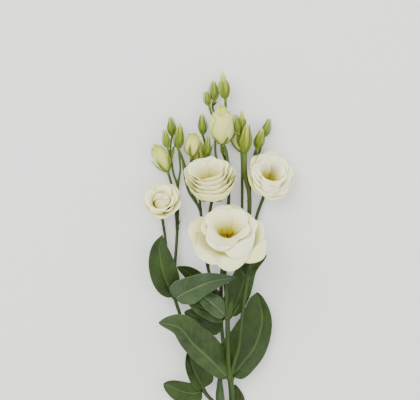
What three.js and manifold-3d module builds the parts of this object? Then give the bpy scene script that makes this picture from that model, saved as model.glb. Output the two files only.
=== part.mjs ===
// A cut stem of double white lisianthus, laid down on a table with its blooms facing up.
// Millimetres. The spray lies along +Y, x runs across it and z is the height above the table.
// Every place below is measured from the cut end of the main stem, on the table.
import * as THREE from "three";
import { mergeVertices } from "three/addons/utils/BufferGeometryUtils.js";
import Module from "manifold-3d";

const wasm = await Module();
wasm.setup();

// Driving dimensions
const ORIGIN = new THREE.Vector3(-11.1, 194.9, 0); // the middle of the spray, as seen from the cut end
const GAP = 0.35; // clearance between two pieces that touch
const PETAL_THICKNESS = 0.7;
const HEART_HEIGHT = 4.2;
const RUFFLES = 7; // waves round the rim of a whorl
const PETAL_ROOT = 2; // how far from the middle of the heart a petal starts
const PETAL_ROUNDING = 0.14; // how much shorter a petal is at its edges
const PETAL_CLAW = 0.7; // width of a petal at its root, as a share of its full width
const LEAF_EDGE = 0.7;
const LEAF_RIB = 1.8;
const LEAF_MARGIN = 0.35; // half the width of a leaf's very tip
const LEAF_WAVES = 5; // half waves along a leaf's edge
const LEAF_BASE_POWER = 0.6; // how round a leaf is at its base, and how slim at its tip
const LEAF_TIP_POWER = 0.9;
const CALYX_HEIGHT = 3; // the swollen end of a flower stalk
const SEPALS = 5;
const STAMENS = 5;
const SEPAL_KEEL = 1.3;
const BUD_TWIST = 0.8; // radians that the ridges of a bud wind round it
const THIN_STEM = 2.7; // below this radius a stem has fewer sides
const TABLE_DEPTH = 20;

// Places where the stem branches
const LOW_JOINT = [2, 34, 7];
const SIDE_JOINT = [-26, 68, 10];
const LEAFY_JOINT = [0.5, 81, 14];
const FRONT_JOINT = [-2.5, 142, 22];
const LEFT_JOINT = [-56, 162.5, 12];
const RIGHT_JOINT = [17.4, 183, 20];
const LEFT_FORK = [-53, 231, 4];
const TWIN_FORK = [-52.6, 275, 4];
const MIDDLE_FORK = [-29.6, 249.4, 11];
const TALL_FORK = [-2.4, 296, 7];

// Colours, as they look in daylight
const STEM_GREEN = new THREE.Color(0.26, 0.36, 0.14);
const LEAF_GREEN = new THREE.Color(0.2, 0.3, 0.12);
const PETAL_WHITE = new THREE.Color(0.9, 0.89, 0.8);
const BUD_CREAM = new THREE.Color(0.8, 0.8, 0.58);
const BUD_GREEN = new THREE.Color(0.55, 0.62, 0.25);
const CENTRE_GOLD = new THREE.Color(0.8, 0.62, 0.1);

const vector = (place) => new THREE.Vector3(...place);
const smooth = (from, to, x) => THREE.MathUtils.smoothstep(x, from, to);
const radians = THREE.MathUtils.degToRad;

// Solids

// A closed three.js geometry as a solid.
function solidOf(geometry) {
  geometry.deleteAttribute("normal");
  geometry.deleteAttribute("uv");
  const merged = mergeVertices(geometry, 1e-4);
  return new wasm.Manifold(
    new wasm.Mesh({
      numProp: 3,
      vertProperties: merged.attributes.position.array,
      triVerts: new Uint32Array(merged.index.array),
    }),
  );
}

// The largest body of a solid, without loose scraps or sealed hollows.
function mainBody(solid) {
  return solid.decompose().reduce((best, body) => (body.volume() > best.volume() ? body : best));
}

function join(solids) {
  return mainBody(solids.reduce((sum, next) => sum.add(next)));
}

// What lies below the table top is pressed flat.
function aboveTable(solid) {
  const box = new THREE.BoxGeometry(1000, 1000, TABLE_DEPTH).translate(0, 0, -TABLE_DEPTH / 2);
  return mainBody(solid.subtract(solidOf(box)));
}

// A thin blade over a grid, u from -1 to 1 across and v from 0 to 1 along, alike on both faces.
function blade(across, along, thickness, surface) {
  const grid = new THREE.PlaneGeometry(2, 1, across, along);
  const flat = grid.attributes.position;
  const count = flat.count;
  const row = across + 1;
  const positions = new Float32Array(count * 6);
  const step = 1e-3;
  for (let i = 0; i < count; i++) {
    const u = flat.getX(i);
    const v = flat.getY(i) + 0.5;
    const alongU = surface(Math.min(u + step, 1), v).sub(surface(Math.max(u - step, -1), v));
    const alongV = surface(u, Math.min(v + step, 1)).sub(surface(u, Math.max(v - step, 0)));
    const normal = alongU.cross(alongV).normalize();
    const half = thickness(u, v) / 2;
    surface(u, v).addScaledVector(normal, half).toArray(positions, 3 * i);
    surface(u, v).addScaledVector(normal, -half).toArray(positions, 3 * (i + count));
  }
  const faces = Array.from(grid.index.array);
  for (let i = 0, n = faces.length; i < n; i += 3)
    faces.push(faces[i] + count, faces[i + 2] + count, faces[i + 1] + count);
  const rim = [];
  for (let i = across; i > 0; i--) rim.push(i);
  for (let i = 0; i < along; i++) rim.push(i * row);
  for (let i = 0; i < across; i++) rim.push(along * row + i);
  for (let i = along; i > 0; i--) rim.push(i * row + across);
  rim.forEach((a, i) => {
    const b = rim[(i + 1) % rim.length];
    faces.push(b, a, a + count, b, a + count, b + count);
  });
  const geometry = new THREE.BufferGeometry();
  geometry.setAttribute("position", new THREE.BufferAttribute(positions, 3));
  geometry.setIndex(faces);
  return solidOf(geometry);
}

// A round bar along a smooth route. radius(t) and the route run from 0 to 1.
function bar(route, radius, sides, stepsPerSpan) {
  const curve = new THREE.CatmullRomCurve3(route.map(vector), false, "catmullrom", 0.5);
  const steps = stepsPerSpan * (route.length - 1);
  const geometry = new THREE.CylinderGeometry(1, 1, 1, sides, steps);
  const position = geometry.attributes.position;
  const up = new THREE.Vector3(0, 0, 1);
  for (let i = 0; i < position.count; i++) {
    const t = position.getY(i) + 0.5;
    const forward = curve.getTangent(t);
    const side = new THREE.Vector3().crossVectors(up, forward).normalize();
    const top = new THREE.Vector3().crossVectors(forward, side);
    const point = curve.getPoint(t);
    point.addScaledVector(top, position.getX(i) * radius(t));
    point.addScaledVector(side, position.getZ(i) * radius(t));
    position.setXYZ(i, point.x, point.y, point.z);
  }
  return solidOf(geometry);
}

// A curve of equally spaced values, read at v from 0 to 1.
function profileAt(values, v) {
  const points = values.map((value, i) => new THREE.Vector2(i / (values.length - 1), value));
  return new THREE.SplineCurve(points).getPoint(v).y;
}

// The turn that carries +Z to a direction, with its +Y kept as near as it can be to the spray's +Y.
function turnTo(direction) {
  const axis = vector(direction).normalize();
  const side = new THREE.Vector3(0, 1, 0).cross(axis).normalize();
  return new THREE.Matrix4().makeBasis(side, new THREE.Vector3().crossVectors(axis, side), axis);
}

// The stem and its branches: [name, radius at the start, radius at the end, route]
const BRANCHES = [
  ["main", 3.3, 3, [[0.5, 0, 3.1], [1.5, 18, 4.6], LOW_JOINT, [2.2, 60, 10.5], LEAFY_JOINT]],
  ["side", 1.9, 1.6, [LOW_JOINT, [-12, 52, 9], SIDE_JOINT, [-33, 90, 8], [-44, 125, 8],
    [-50, 144, 9.5], LEFT_JOINT]],
  ["left_bloom", 1.4, 1.3, [LEFT_JOINT, [-61, 186, 8], [-63.6, 208, 6], [-65.6, 225, 4.4],
    [-68.4, 243, 3.6], [-69, 250, 8]]],
  ["left", 1.5, 1.4, [LEFT_JOINT, [-55.5, 190, 13], [-54, 212, 8], LEFT_FORK]],
  ["left_bud", 1.3, 1.2, [LEFT_FORK, [-54.8, 250, 1.2], [-59, 276, 4], [-62.7, 289, 9]]],
  ["twin", 1.3, 1.2, [LEFT_FORK, [-52.4, 252, 1.2], TWIN_FORK]],
  ["twin_left", 1, 0.9, [TWIN_FORK, [-56.6, 286, 6], [-58.4, 297, 9], [-59.5, 305, 11],
    [-59.6, 315, 10.4], [-58.4, 325, 9]]],
  ["twin_side", 0.9, 0.9, [[-59.5, 304, 10.8], [-61.4, 309, 15], [-62.6, 313, 17.5]]],
  ["twin_right", 1, 1, [TWIN_FORK, [-50, 290, 7], [-50.6, 301, 10], [-51.8, 312.5, 13]]],
  ["twin_spur", 1.7, 0.8, [[-45.4, 291, 6.4], [-48, 302, 9.6], [-51.6, 311.5, 12.6]]],
  ["twin_back", 1.1, 1.5, [[-33.4, 256.6, 10], [-41, 268, 6], [-44.4, 280, 5.4], [-45.4, 291, 6.4]]],
  ["front_bloom", 2.7, 1.9, [LEAFY_JOINT, [-1.5, 97, 16.5], [-2, 118, 20], FRONT_JOINT,
    [-3.3, 165, 22], [-5.2, 184, 21.5], [-4.4, 197, 24.5], [-2.8, 208, 31], [-2.5, 212.4, 35.4]]],
  ["right_bloom", 2.1, 1.6, [LEAFY_JOINT, [5, 98, 17], [9.5, 115, 19], [13, 148, 20], RIGHT_JOINT,
    [20, 202, 17], [23.4, 224, 12], [27.5, 245, 7], [34, 263, 2.4], [37, 272, 4.6]]],
  ["middle", 1.7, 1.4, [FRONT_JOINT, [-9, 158, 18], [-16.5, 174, 15], [-22.2, 193, 14],
    [-26, 222, 13], MIDDLE_FORK]],
  ["centre_bloom", 1.4, 1.6, [[-22.2, 193, 14], [-22.6, 222, 15.5], [-20.4, 247, 14],
    [-18.4, 258, 15], [-18, 264, 19]]],
  ["middle_left", 1.2, 1.5, [MIDDLE_FORK, [-35.8, 263, 8], [-39.4, 280, 4.4], [-39.2, 293, 8],
    [-38.4, 304, 16.4]]],
  ["middle_right", 1.2, 1.2, [MIDDLE_FORK, [-30.3, 261, 8], [-31, 280, 5.2], [-31.4, 296, 6]]],
  ["middle_bud", 1, 1, [[-30.8, 272, 6.2], [-25, 292, 2.6], [-24.4, 311, 3], [-27.2, 326.5, 9.6]]],
  ["small_bud", 1, 1.1, [[-30.5, 266, 6.8], [-25.4, 292, 4.6], [-23.6, 304, 12.6]]],
  ["tall", 1.8, 1.5, [LEAFY_JOINT, [-4, 98, 10.5], [-7.4, 122, 9], [-9, 150, 8.5], [-8, 190, 8],
    [-4.4, 230, 7], [-1, 262, 5.6], TALL_FORK]],
  ["tall_bud", 1.5, 1.5, [TALL_FORK, [-3.6, 308, 11.5], [-7, 316.5, 18]]],
  ["top_1", 1.2, 1.3, [TALL_FORK, [-8, 311, 4.6], [-7.6, 330, 4], [-4.4, 350, 7.4], [-4.6, 362.5, 13.6]]],
  ["top_2", 1, 1, [[-7.8, 322, 4.2], [-12, 336, 0.7], [-16.6, 350, 2.6], [-17.4, 356, 5],
    [-15.6, 361, 7.7]]],
  ["top_3", 1, 1, [[-1.2, 266, 5.8], [-10, 288, 3.8], [-14.4, 307, 3.6], [-15, 328, 3.4], [-18.6, 346, 7],
    [-21, 355.5, 11]]],
  ["cream_right", 1.2, 1.3, [RIGHT_JOINT, [15.4, 212, 12], [12.6, 240, 8], [12.4, 270, 7],
    [12.3, 296, 6.6], [11.7, 309, 8]]],
  ["right", 1.9, 2.2, [RIGHT_JOINT, [18.6, 212, 15], [19.3, 240, 13], [19.4, 266, 13],
    [14.9, 288, 16.4], [15, 308, 20.6]]],
  ["right_upper", 1.2, 1.2, [[14.9, 288, 15], [13, 308, 14], [11.5, 326.5, 17.6]]],
  ["right_spur", 0.8, 0.8, [[12.6, 311, 14.2], [7.6, 318, 19], [8.6, 328.5, 27.2]]],
  ["right_side", 1.6, 1.5, [[19.4, 258, 13], [20.6, 278, 5.4], [23, 297, 3.4], [27.3, 312.5, 11.6]]],
  ["right_tip", 1.2, 1.2, [[22.4, 292, 4], [29.6, 308, 3], [34.2, 324, 6.4]]],
];
const SWELLINGS = [
  [LOW_JOINT, 4.1], [SIDE_JOINT, 2.6], [LEAFY_JOINT, 4.2], [FRONT_JOINT, 3.4], [LEFT_JOINT, 2.7],
  [RIGHT_JOINT, 2.7],
];

// Small bracts at the joints, and the smallest buds, which are all green:
// [base, tip, half width]
const BRACTS = [
  [[-1.2, 142, 24], [2.6, 164, 28], 2.6],
  [[-0.6, 140, 23], [9.6, 155, 25], 0.9],
  [[16, 183, 21], [9.6, 190, 25], 1.1],
  [[18.6, 184, 21], [23, 193, 24], 1.1],
  [[-54, 231, 5], [-49.6, 240, 6], 0.8],
  [[-17, 355, 7], [-13, 359, 9], 0.9],
  [[-59, 305, 11.4], [-55.6, 315, 13], 1.2],
  [[-3, 298, 7.4], [-8, 307, 9], 1],
];
const GREEN_NUBS = [
  [[-58.8, 305, 11], [-55.6, 313, 13], 1.8],
  [[-58.6, 301, 10], [-57.4, 313, 12], 1.4],
  [[-24.2, 299.5, 9.3], [-16.8, 316, 8], 1.7],
  [[-6.6, 306, 5], [-9.4, 314.6, 6], 1.8],
];

// Buds: base and tip of the rolled petals, greatest width, how far up the sepals reach, and how
// far their tips stand away from it. A cream bud is half open at its top.
const CLOSED_BUD = [0.42, 0.84, 1, 0.86, 0.58, 0.32, 0.14];
const CREAM_BUD = [0.34, 0.8, 0.99, 1, 0.9, 0.7, 0.46];
const BUDS = [
  { name: "bud_top_1", base: [-4.6, 363, 14], tip: [-7.8, 390, 17], width: 10.4, reach: 0.62 },
  { name: "bud_top_2", base: [-15.4, 361.5, 8], tip: [-17, 381.6, 9], width: 9, reach: 0.86 },
  { name: "bud_top_3", base: [-21.2, 356, 11.4], tip: [-25, 370, 13.4], width: 6.4, reach: 0.95 },
  { name: "bud_middle", base: [-27.3, 327, 10], tip: [-28, 348, 14], width: 8, reach: 0.9 },
  { name: "bud_left_1", base: [-58.3, 325.6, 9.2], tip: [-59.4, 345, 11], width: 7.8, reach: 0.9 },
  { name: "bud_left_2", base: [-51.8, 313, 13.3], tip: [-50.2, 339, 18], width: 9.8, reach: 0.8 },
  { name: "bud_left_3", base: [-62.7, 313.5, 17.8], tip: [-66, 331, 20], width: 7, reach: 1 },
  { name: "bud_right_1", base: [11.5, 327, 18], tip: [12, 351, 21], width: 9, reach: 0.6 },
  { name: "bud_right_2", base: [8.6, 329, 27.6], tip: [5.6, 345.6, 29], width: 5, reach: 1 },
  { name: "bud_right_3", base: [15, 308.6, 21], tip: [17, 337.4, 31], width: 12.4, reach: 0.95 },
  { name: "bud_right_4", base: [27.4, 313, 12.2], tip: [33, 332.4, 18], width: 9.6, reach: 0.9 },
  { name: "bud_right_5", base: [34.4, 324.6, 6.8], tip: [40.6, 343, 10], width: 7.6, reach: 0.95 },
  { name: "bud_small", base: [-23.6, 304.6, 13], tip: [-21.6, 324, 18], width: 7, reach: 1 },
  { name: "bud_cream_left", base: [-62.8, 289.6, 9.4], tip: [-76, 317, 16], width: 16, reach: 0.5,
    cream: true, spread: 2.2 },
  { name: "bud_cream_tall", base: [-7.2, 317, 18.5], tip: [-9, 356.4, 28], width: 23, reach: 0.22,
    cream: true, spread: 0 },
  { name: "bud_cream_right", base: [11.6, 309.6, 7.8], tip: [1.4, 340, 7.6], width: 14, reach: 0.5,
    cream: true, spread: 0.5 },
  { name: "bud_cream_middle", base: [-38.4, 304.6, 17], tip: [-36.4, 328, 23], width: 14.5,
    reach: 0.75, cream: true, spread: 1.6 },
  { name: "bud_cream_hidden", base: [-31.4, 296.6, 6.4], tip: [-32.6, 321, 6.2], width: 11.4,
    reach: 0.5, cream: true, spread: 0.5 },
];

// Blooms: base of the petals, direction faced, and whorls from the inside out.
// A petal is [the angle it faces, half its angle, how far it follows the whorl's line, how much
// further it does so on its left edge, its own swell]. Root is a height; belly, throat and lip are
// [radius, height] on the side away from the stem, and throat and lip differ on the side towards
// it, where the petals droop. The edges dip, the rim is ruffled, one edge laps over the next petal.
const BLOOMS = [
  { name: "bloom_front", base: [-2.5, 213, 36], faces: [0, 0.77, 0.64], stalk: 1.9, heart: 6,
    grid: [4, 3], centre: 19.5, droop: 3,
    whorls: [
      { petals: [[38, 56, 0.86], [128, 58, 1], [218, 58, 1], [308, 56, 0.9]], root: 3.6,
        belly: [10, 5], throat: [10, 30], lip: [26, 30], lowThroat: [7, 40], lowLip: [27, 14],
        dip: 0.6, ruffle: 0.6, lap: 1.8 },
      { petals: [[305, 52, 1], [17, 50, 0.97], [89, 50, 1], [161, 50, 0.98], [225, 52, 1, -0.08]],
        root: 2.9, belly: [16, 4], throat: [18, 24], lip: [31, 28], lowThroat: [13, 38],
        lowLip: [34, 8], dip: 1.2, ruffle: 0.9, lap: 2 },
      { petals: [[180, 44, 1.06, -0.03], [250, 50, 1], [325, 48, 1.1, 0.04], [22, 40, 1.02],
        [95, 48, 0.94]], root: 1.8, belly: [23, 0], throat: [26, 18], lip: [37, 23],
        lowThroat: [27, 22], lowLip: [40, 1], dip: 2.4, ruffle: 1.5, lap: 2.2 },
    ] },
  { name: "bloom_centre", base: [-18, 264, 19.5], faces: [-0.04, 0.87, 0.49], stalk: 1.6,
    heart: 4.6, grid: [3, 3], centre: 15, droop: 1.6,
    whorls: [
      { petals: [[168, 62, 1], [60, 62, 0.92], [300, 62, 0.92, 0.08]], root: 3.6, belly: [9, 4],
        throat: [8, 30], lip: [17, 36], lowThroat: [9.5, 29], lowLip: [13, 29], dip: 0.6,
        ruffle: 0.8, lap: 1.2 },
      { petals: [[110, 56, 1], [20, 54, 0.98], [290, 54, 0.94, 0.06], [200, 56, 1]], root: 2.8,
        belly: [13, 2.5], throat: [12, 29], lip: [20.6, 34], lowThroat: [13.4, 24], lowLip: [16, 23.6],
        dip: 0.8, ruffle: 1, lap: 1.2 },
      { petals: [[12, 46, 1], [87, 46, 0.96], [162, 48, 1.02], [235, 48, 0.95, 0.05], [305, 48, 1]],
        root: 2, belly: [17, 0], throat: [17, 24], lip: [24.6, 29.4], lowThroat: [17.6, 18],
        lowLip: [19.4, 18.4], dip: 1.2, ruffle: 1.4, lap: 1.2 },
      { petals: [[338, 48, 1], [52, 44, 0.95], [124, 46, 0.98], [198, 48, 1.04], [268, 50, 1]],
        root: 1.3, belly: [20.5, -1.8], throat: [20, 19], lip: [27.4, 25], lowThroat: [21, 10],
        lowLip: [21.6, 13.5], dip: 1.4, ruffle: 1.5, lap: 1.3 },
    ] },
  { name: "bloom_right", base: [37.4, 273, 5.6], faces: [0.24, 0.67, 0.7], stalk: 1.6, heart: 4.2,
    grid: [3, 3], centre: 14.5, droop: 1.6,
    whorls: [
      { petals: [[35, 60, 0.94], [140, 62, 1], [265, 66, 0.98]], root: 3.6, belly: [8, 4],
        throat: [7, 22], lip: [12.6, 23], lowThroat: [5.5, 26], lowLip: [13.6, 16.4], dip: 0.5,
        ruffle: 0.7, lap: 1.2 },
      { petals: [[8, 48, 1], [82, 44, 0.97], [154, 46, 1], [226, 48, 1.02], [298, 48, 0.96]],
        root: 2.3, belly: [12.4, 2], throat: [12.4, 19], lip: [20, 25], lowThroat: [12.4, 20],
        lowLip: [20, 11], dip: 1.1, ruffle: 1.2, lap: 1.3 },
      { petals: [[335, 46, 1.04, 0.03], [52, 44, 1], [122, 44, 0.96], [194, 46, 1.04],
        [266, 46, 0.97]], root: 1, belly: [15.4, 0], throat: [16.6, 13.6], lip: [23.6, 19.4],
        lowThroat: [17, 13], lowLip: [24.2, 5.6], dip: 1.6, ruffle: 1.5, lap: 1.3 },
    ] },
  { name: "bloom_left", base: [-69, 250.6, 8.8], faces: [0, 0.42, 0.91], stalk: 1.3, heart: 3.8,
    grid: [3, 3], centre: 10, droop: 1.6,
    whorls: [
      { petals: [[10, 84, 1, 0, 3], [130, 84, 1, 0, 0.6], [250, 84, 1, 0, 1]], root: 3.4,
        belly: [6, 3], throat: [10, 18], lip: [2, 21.4], lowThroat: [9.6, 17], lowLip: [2, 20.6],
        dip: 0.2, ruffle: 0.3, lap: 1.6 },
      { petals: [[60, 56, 1], [150, 56, 1], [240, 56, 1], [330, 56, 0.96]], root: 2.6,
        belly: [10, 1], throat: [9.6, 19], lip: [15, 21], lowThroat: [8.4, 20], lowLip: [14, 19],
        dip: 0.7, ruffle: 0.9, lap: 1.2 },
      { petals: [[330, 48, 1], [42, 46, 1], [114, 46, 0.97], [186, 48, 1], [258, 48, 1]],
        root: 1.2, belly: [13.5, -1], throat: [14.6, 14], lip: [20.3, 17.6], lowThroat: [12.5, 15],
        lowLip: [18.8, 14], dip: 1, ruffle: 1.3, lap: 1.3 },
    ] },
];

// Leaves: rib from base to tip, the way the upper face looks at the base and at the tip, half width
// to the left and right of the rib, fold in degrees, edge wave and fullness.
const LEAVES = [
  { name: "leaf_left", rib: [[-57, 163, 13], [-63.5, 177, 15], [-69, 195, 17], [-70.6, 212, 18],
    [-68, 225, 17]], faces: [[0.2, 0, 1], [0.1, 0, 1]], left: 13.4, right: 14, fold: 12, wave: 0.8 },
  { name: "leaf_long", rib: [[-54.6, 161, 15], [-47, 166, 24], [-37, 171, 31], [-18, 178.6, 33],
    [7.4, 183, 31]], faces: [[0, -0.2, 1], [0.1, -0.4, 1]], left: 15.5, right: 13, fold: 10,
    wave: 1.2, full: 0.8 },
  { name: "leaf_front", rib: [[-2.6, 82, 17], [-21, 101, 26], [-38, 117, 31], [-51, 132, 31],
    [-71.6, 137.4, 29]], faces: [[0.35, 0.2, 1], [0.1, 0.1, 1]], left: 10.5, right: 21, fold: -8,
    wave: 1.4, full: 0.8 },
  { name: "leaf_right", rib: [[2.8, 83, 12], [13, 95, 8], [26, 113, 7], [33, 140, 9],
    [27.5, 167.4, 13]], faces: [[-0.1, 0, 1], [-0.1, 0, 1]], left: 25, right: 11, fold: 14, wave: 1,
    full: 0.62 },
  { name: "leaf_back", rib: [[0.4, 144, 20], [8, 160, 12], [14, 176, 9], [21, 192, 9],
    [37, 204.6, 13]], faces: [[0.1, 0, 1], [0.2, -0.2, 1]], left: 15, right: 9.5, fold: 8, wave: 1,
    full: 0.8 },
  { name: "leaf_inner_left", rib: [[-5, 147, 15], [-18, 161, 11], [-31, 176, 10], [-42, 187, 12],
    [-53, 193, 17]], faces: [[0, 0, 1], [0, -0.3, 1]], left: 8, right: 10, fold: 8, wave: 0.8 },
  { name: "leaf_small_upper", rib: [[-4.6, 144, 24], [-14, 153, 25], [-25, 162, 23],
    [-35, 170, 20]], faces: [[0.2, 0.3, 1], [0.3, 0.3, 1]], left: 9, right: 10, fold: 6, wave: 0.8 },
  { name: "leaf_small_middle", rib: [[-5, 141, 20], [-18, 147, 18.6], [-31, 153, 18],
    [-44, 160, 17]], faces: [[0, 0.1, 1], [0, 0.3, 1]], left: 8.4, right: 8.4, fold: 10, wave: 0.8 },
  { name: "leaf_small_lower", rib: [[-9.6, 128, 9], [-22, 136, 10], [-36, 144, 12.4],
    [-46, 147, 14]], faces: [[0, 0, 1], [0, 0, 1]], left: 9, right: 9, fold: 8, wave: 0.8 },
  { name: "leaf_low_upright", rib: [[-26.6, 70.6, 11], [-32, 80, 13], [-38, 93, 14],
    [-42, 108, 15]], faces: [[0, 0.1, 1], [0.1, 0.1, 1]], left: 9, right: 16, fold: 24, wave: 0.8,
    full: 0.7 },
  { name: "leaf_low_side", rib: [[-28, 66.6, 10], [-40, 64.6, 13], [-53, 69, 13], [-62, 75, 14],
    [-67, 75, 12]], faces: [[0, 0, 1], [-0.6, 0.2, 1]], left: 11, right: 10, fold: 8, wave: 1,
    full: 0.62 },
  { name: "leaf_stem_left", rib: [[-0.6, 36, 10], [-7, 52, 13.4], [-9.6, 70, 14.6],
    [-8.4, 89, 12]], faces: [[-0.8, 0, 0.7], [-0.8, 0, 0.6]], left: 7, right: 7, fold: 10, wave: 0.5 },
  { name: "leaf_stem_right", rib: [[3.6, 36, 5], [9, 47, 3.6], [9.4, 60, 3.4], [5, 74, 3.4]],
    faces: [[0, 0, 1], [0, 0, 1]], left: 6, right: 6, fold: 4, wave: 0.5 },
];

// The green body

function branch(route, start, end, extra) {
  const sides = Math.max(start, end) < THIN_STEM ? 5 : 7;
  return bar(route, (t) => start + (end - start) * t + extra, sides, 1);
}

function swelling(place, radius) {
  const [x, y, z] = place;
  return solidOf(new THREE.IcosahedronGeometry(radius * 1.12).translate(x, y, z));
}

// A calyx: a cup on the end of a stalk that rises into five pointed, keeled sepals.
// Each row gives [radius, height] at an angle, on a keel or between two of them: the stalk, the
// outside, the tips, the inside and the floor of the cup.
function calyx(matrix, rows) {
  const strips = rows.length - 1;
  const tips = strips - 2;
  const geometry = new THREE.CylinderGeometry(1, 1, 1, 2 * SEPALS, strips);
  const position = geometry.attributes.position;
  for (let i = 0; i < position.count; i++) {
    const row = rows[Math.round((position.getY(i) + 0.5) * strips)];
    const around = Math.atan2(position.getX(i), position.getZ(i));
    const size = Math.round(Math.hypot(position.getX(i), position.getZ(i)));
    const isKeel = Math.round((around * SEPALS) / Math.PI) % 2 === 0;
    const angle = around + radians(18);
    const [radius, height] = row(angle, isKeel);
    position.setXYZ(i, size * radius * Math.cos(angle), size * radius * Math.sin(angle), height);
  }
  // A cell is split from the lower end of its keel, so that no edge runs from a tip to a floor.
  const index = geometry.index;
  for (let cell = 0; cell < 2 * SEPALS * strips; cell++) {
    const column = Math.floor(cell / strips);
    const isInside = cell % strips < strips - tips;
    if ((column % 2 === 0) !== isInside) continue;
    const [a, b, d, , c] = [0, 1, 2, 3, 4].map((corner) => index.getX(6 * cell + corner));
    [a, b, c, a, c, d].forEach((corner, k) => index.setX(6 * cell + k, corner));
  }
  return solidOf(geometry.applyMatrix4(matrix));
}

// A small bract, as wide as twice its half width, from its base to its tip.
function bract([base, tip, half]) {
  const rib = vector(tip).sub(vector(base));
  const side = new THREE.Vector3().crossVectors(rib, new THREE.Vector3(0, 0, 1)).normalize();
  return blade(2, 2, () => LEAF_EDGE, (u, v) =>
    vector(base).addScaledVector(rib, v).addScaledVector(side, u * half * (1 - 0.8 * v * v)));
}

// A tiny bud, all green.
function nub([base, tip, half]) {
  return bar([base, tip], (t) => half * (1 - 0.8 * t) * (t > 0 ? 1 : 0.6), 5, 2);
}

function budFrame(bud) {
  const base = vector(bud.base);
  const direction = vector(bud.tip).sub(base);
  const matrix = turnTo(direction.toArray()).setPosition(base);
  return { matrix, length: direction.length() };
}

function budRadius(bud, v) {
  return (bud.width / 2) * profileAt(bud.cream ? CREAM_BUD : CLOSED_BUD, v);
}

// The calyx of a bud stands clear of its petals all the way up.
function budCalyx(bud) {
  const { matrix, length } = budFrame(bud);
  const middle = Math.min(0.33, bud.reach / 2);
  const clear = (v) => budRadius(bud, v) * 1.1 + GAP + 0.15;
  const spread = bud.spread ?? 0.4;
  const cup = bud.cream ? 0.13 : 0.3;
  const outside = (angle, isKeel) =>
    isKeel ? [clear(middle) + SEPAL_KEEL, middle * length] : [clear(cup) + 0.6, (cup - 0.13) * length];
  const tips = (angle, isKeel) =>
    isKeel ? [clear(bud.reach) + spread, bud.reach * length] : [clear(cup) + 0.4, cup * length];
  const inside = (angle, isKeel) =>
    isKeel ? [clear(middle), middle * length] : [clear(cup), (cup - 0.07) * length];
  return calyx(matrix, [() => [1, -CALYX_HEIGHT], outside, tips, inside, () => [clear(0), -GAP]]);
}

// The rolled petals of a bud: five ridges that wind once round it.
function budPetals(bud) {
  const { matrix, length } = budFrame(bud);
  const geometry = new THREE.CylinderGeometry(1, 1, 1, 10, bud.cream ? 4 : 3);
  const position = geometry.attributes.position;
  for (let i = 0; i < position.count; i++) {
    const v = position.getY(i) + 0.5;
    const size = Math.hypot(position.getX(i), position.getZ(i));
    const around = Math.atan2(position.getX(i), position.getZ(i)) + BUD_TWIST * v;
    const ridge = Math.round((Math.atan2(position.getX(i), position.getZ(i)) * 5) / Math.PI) % 2;
    const radius = size * budRadius(bud, v) * (ridge ? 0.92 : 1.04);
    position.setXYZ(i, radius * Math.cos(around), radius * Math.sin(around), v * length);
  }
  geometry.applyMatrix4(matrix);
  return solidOf(geometry);
}

// The blooms

// Radius and height along a petal that faces an angle, from its root at s = 0 to its lip at s = 1.
function petalLine(whorl, droop, angle, s) {
  const low = ((1 - Math.sin(angle)) / 2) ** droop;
  const between = (high, lower) => new THREE.Vector2(...high).lerp(new THREE.Vector2(...lower), low);
  const line = new THREE.CubicBezierCurve(
    new THREE.Vector2(PETAL_ROOT, whorl.root),
    new THREE.Vector2(...whorl.belly),
    between(whorl.throat, whorl.lowThroat),
    between(whorl.lip, whorl.lowLip),
  );
  return line.getPoint(s);
}

// A point of a petal, u across it and s from root to lip.
function petalPoint(whorl, droop, petal, u, s) {
  const [facing, half, reach, slant = 0, swell = 0] = petal;
  const along = s * (reach + slant * u) * (1 - PETAL_ROUNDING * Math.abs(u) ** 3);
  const edge = smooth(0.5, 1, along);
  const claw = PETAL_CLAW + (1 - PETAL_CLAW) * smooth(0.05, 0.35, along);
  const theta = radians(facing + half * u * claw * (1 - 0.12 * edge));
  const line = petalLine(whorl, droop, theta, along);
  const wave = whorl.ruffle * edge * Math.sin(RUFFLES * theta + facing);
  const out = line.x + 0.6 * wave + whorl.lap * u * smooth(0, 0.2, along) + swell * edge;
  const up = line.y - whorl.dip * u * u * edge + 0.6 * wave;
  return new THREE.Vector3(out * Math.cos(theta), out * Math.sin(theta), up);
}

function bloomMatrix(bloom) {
  return turnTo(bloom.faces).setPosition(vector(bloom.base));
}

function bloomPetals(bloom) {
  const matrix = bloomMatrix(bloom);
  const [across, along] = bloom.grid;
  const solids = [];
  for (const whorl of bloom.whorls) {
    for (const petal of whorl.petals) {
      const surface = (u, v) => petalPoint(whorl, bloom.droop, petal, u, v).applyMatrix4(matrix);
      solids.push(blade(across, along, () => PETAL_THICKNESS, surface));
    }
  }
  return solids;
}

// The short solid heart that the petals grow from.
function bloomHeart(bloom) {
  const heart = new THREE.CylinderGeometry(bloom.heart, 3, HEART_HEIGHT, 10).rotateX(Math.PI / 2);
  heart.translate(0, 0, HEART_HEIGHT / 2);
  return solidOf(heart.applyMatrix4(bloomMatrix(bloom)));
}

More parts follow.
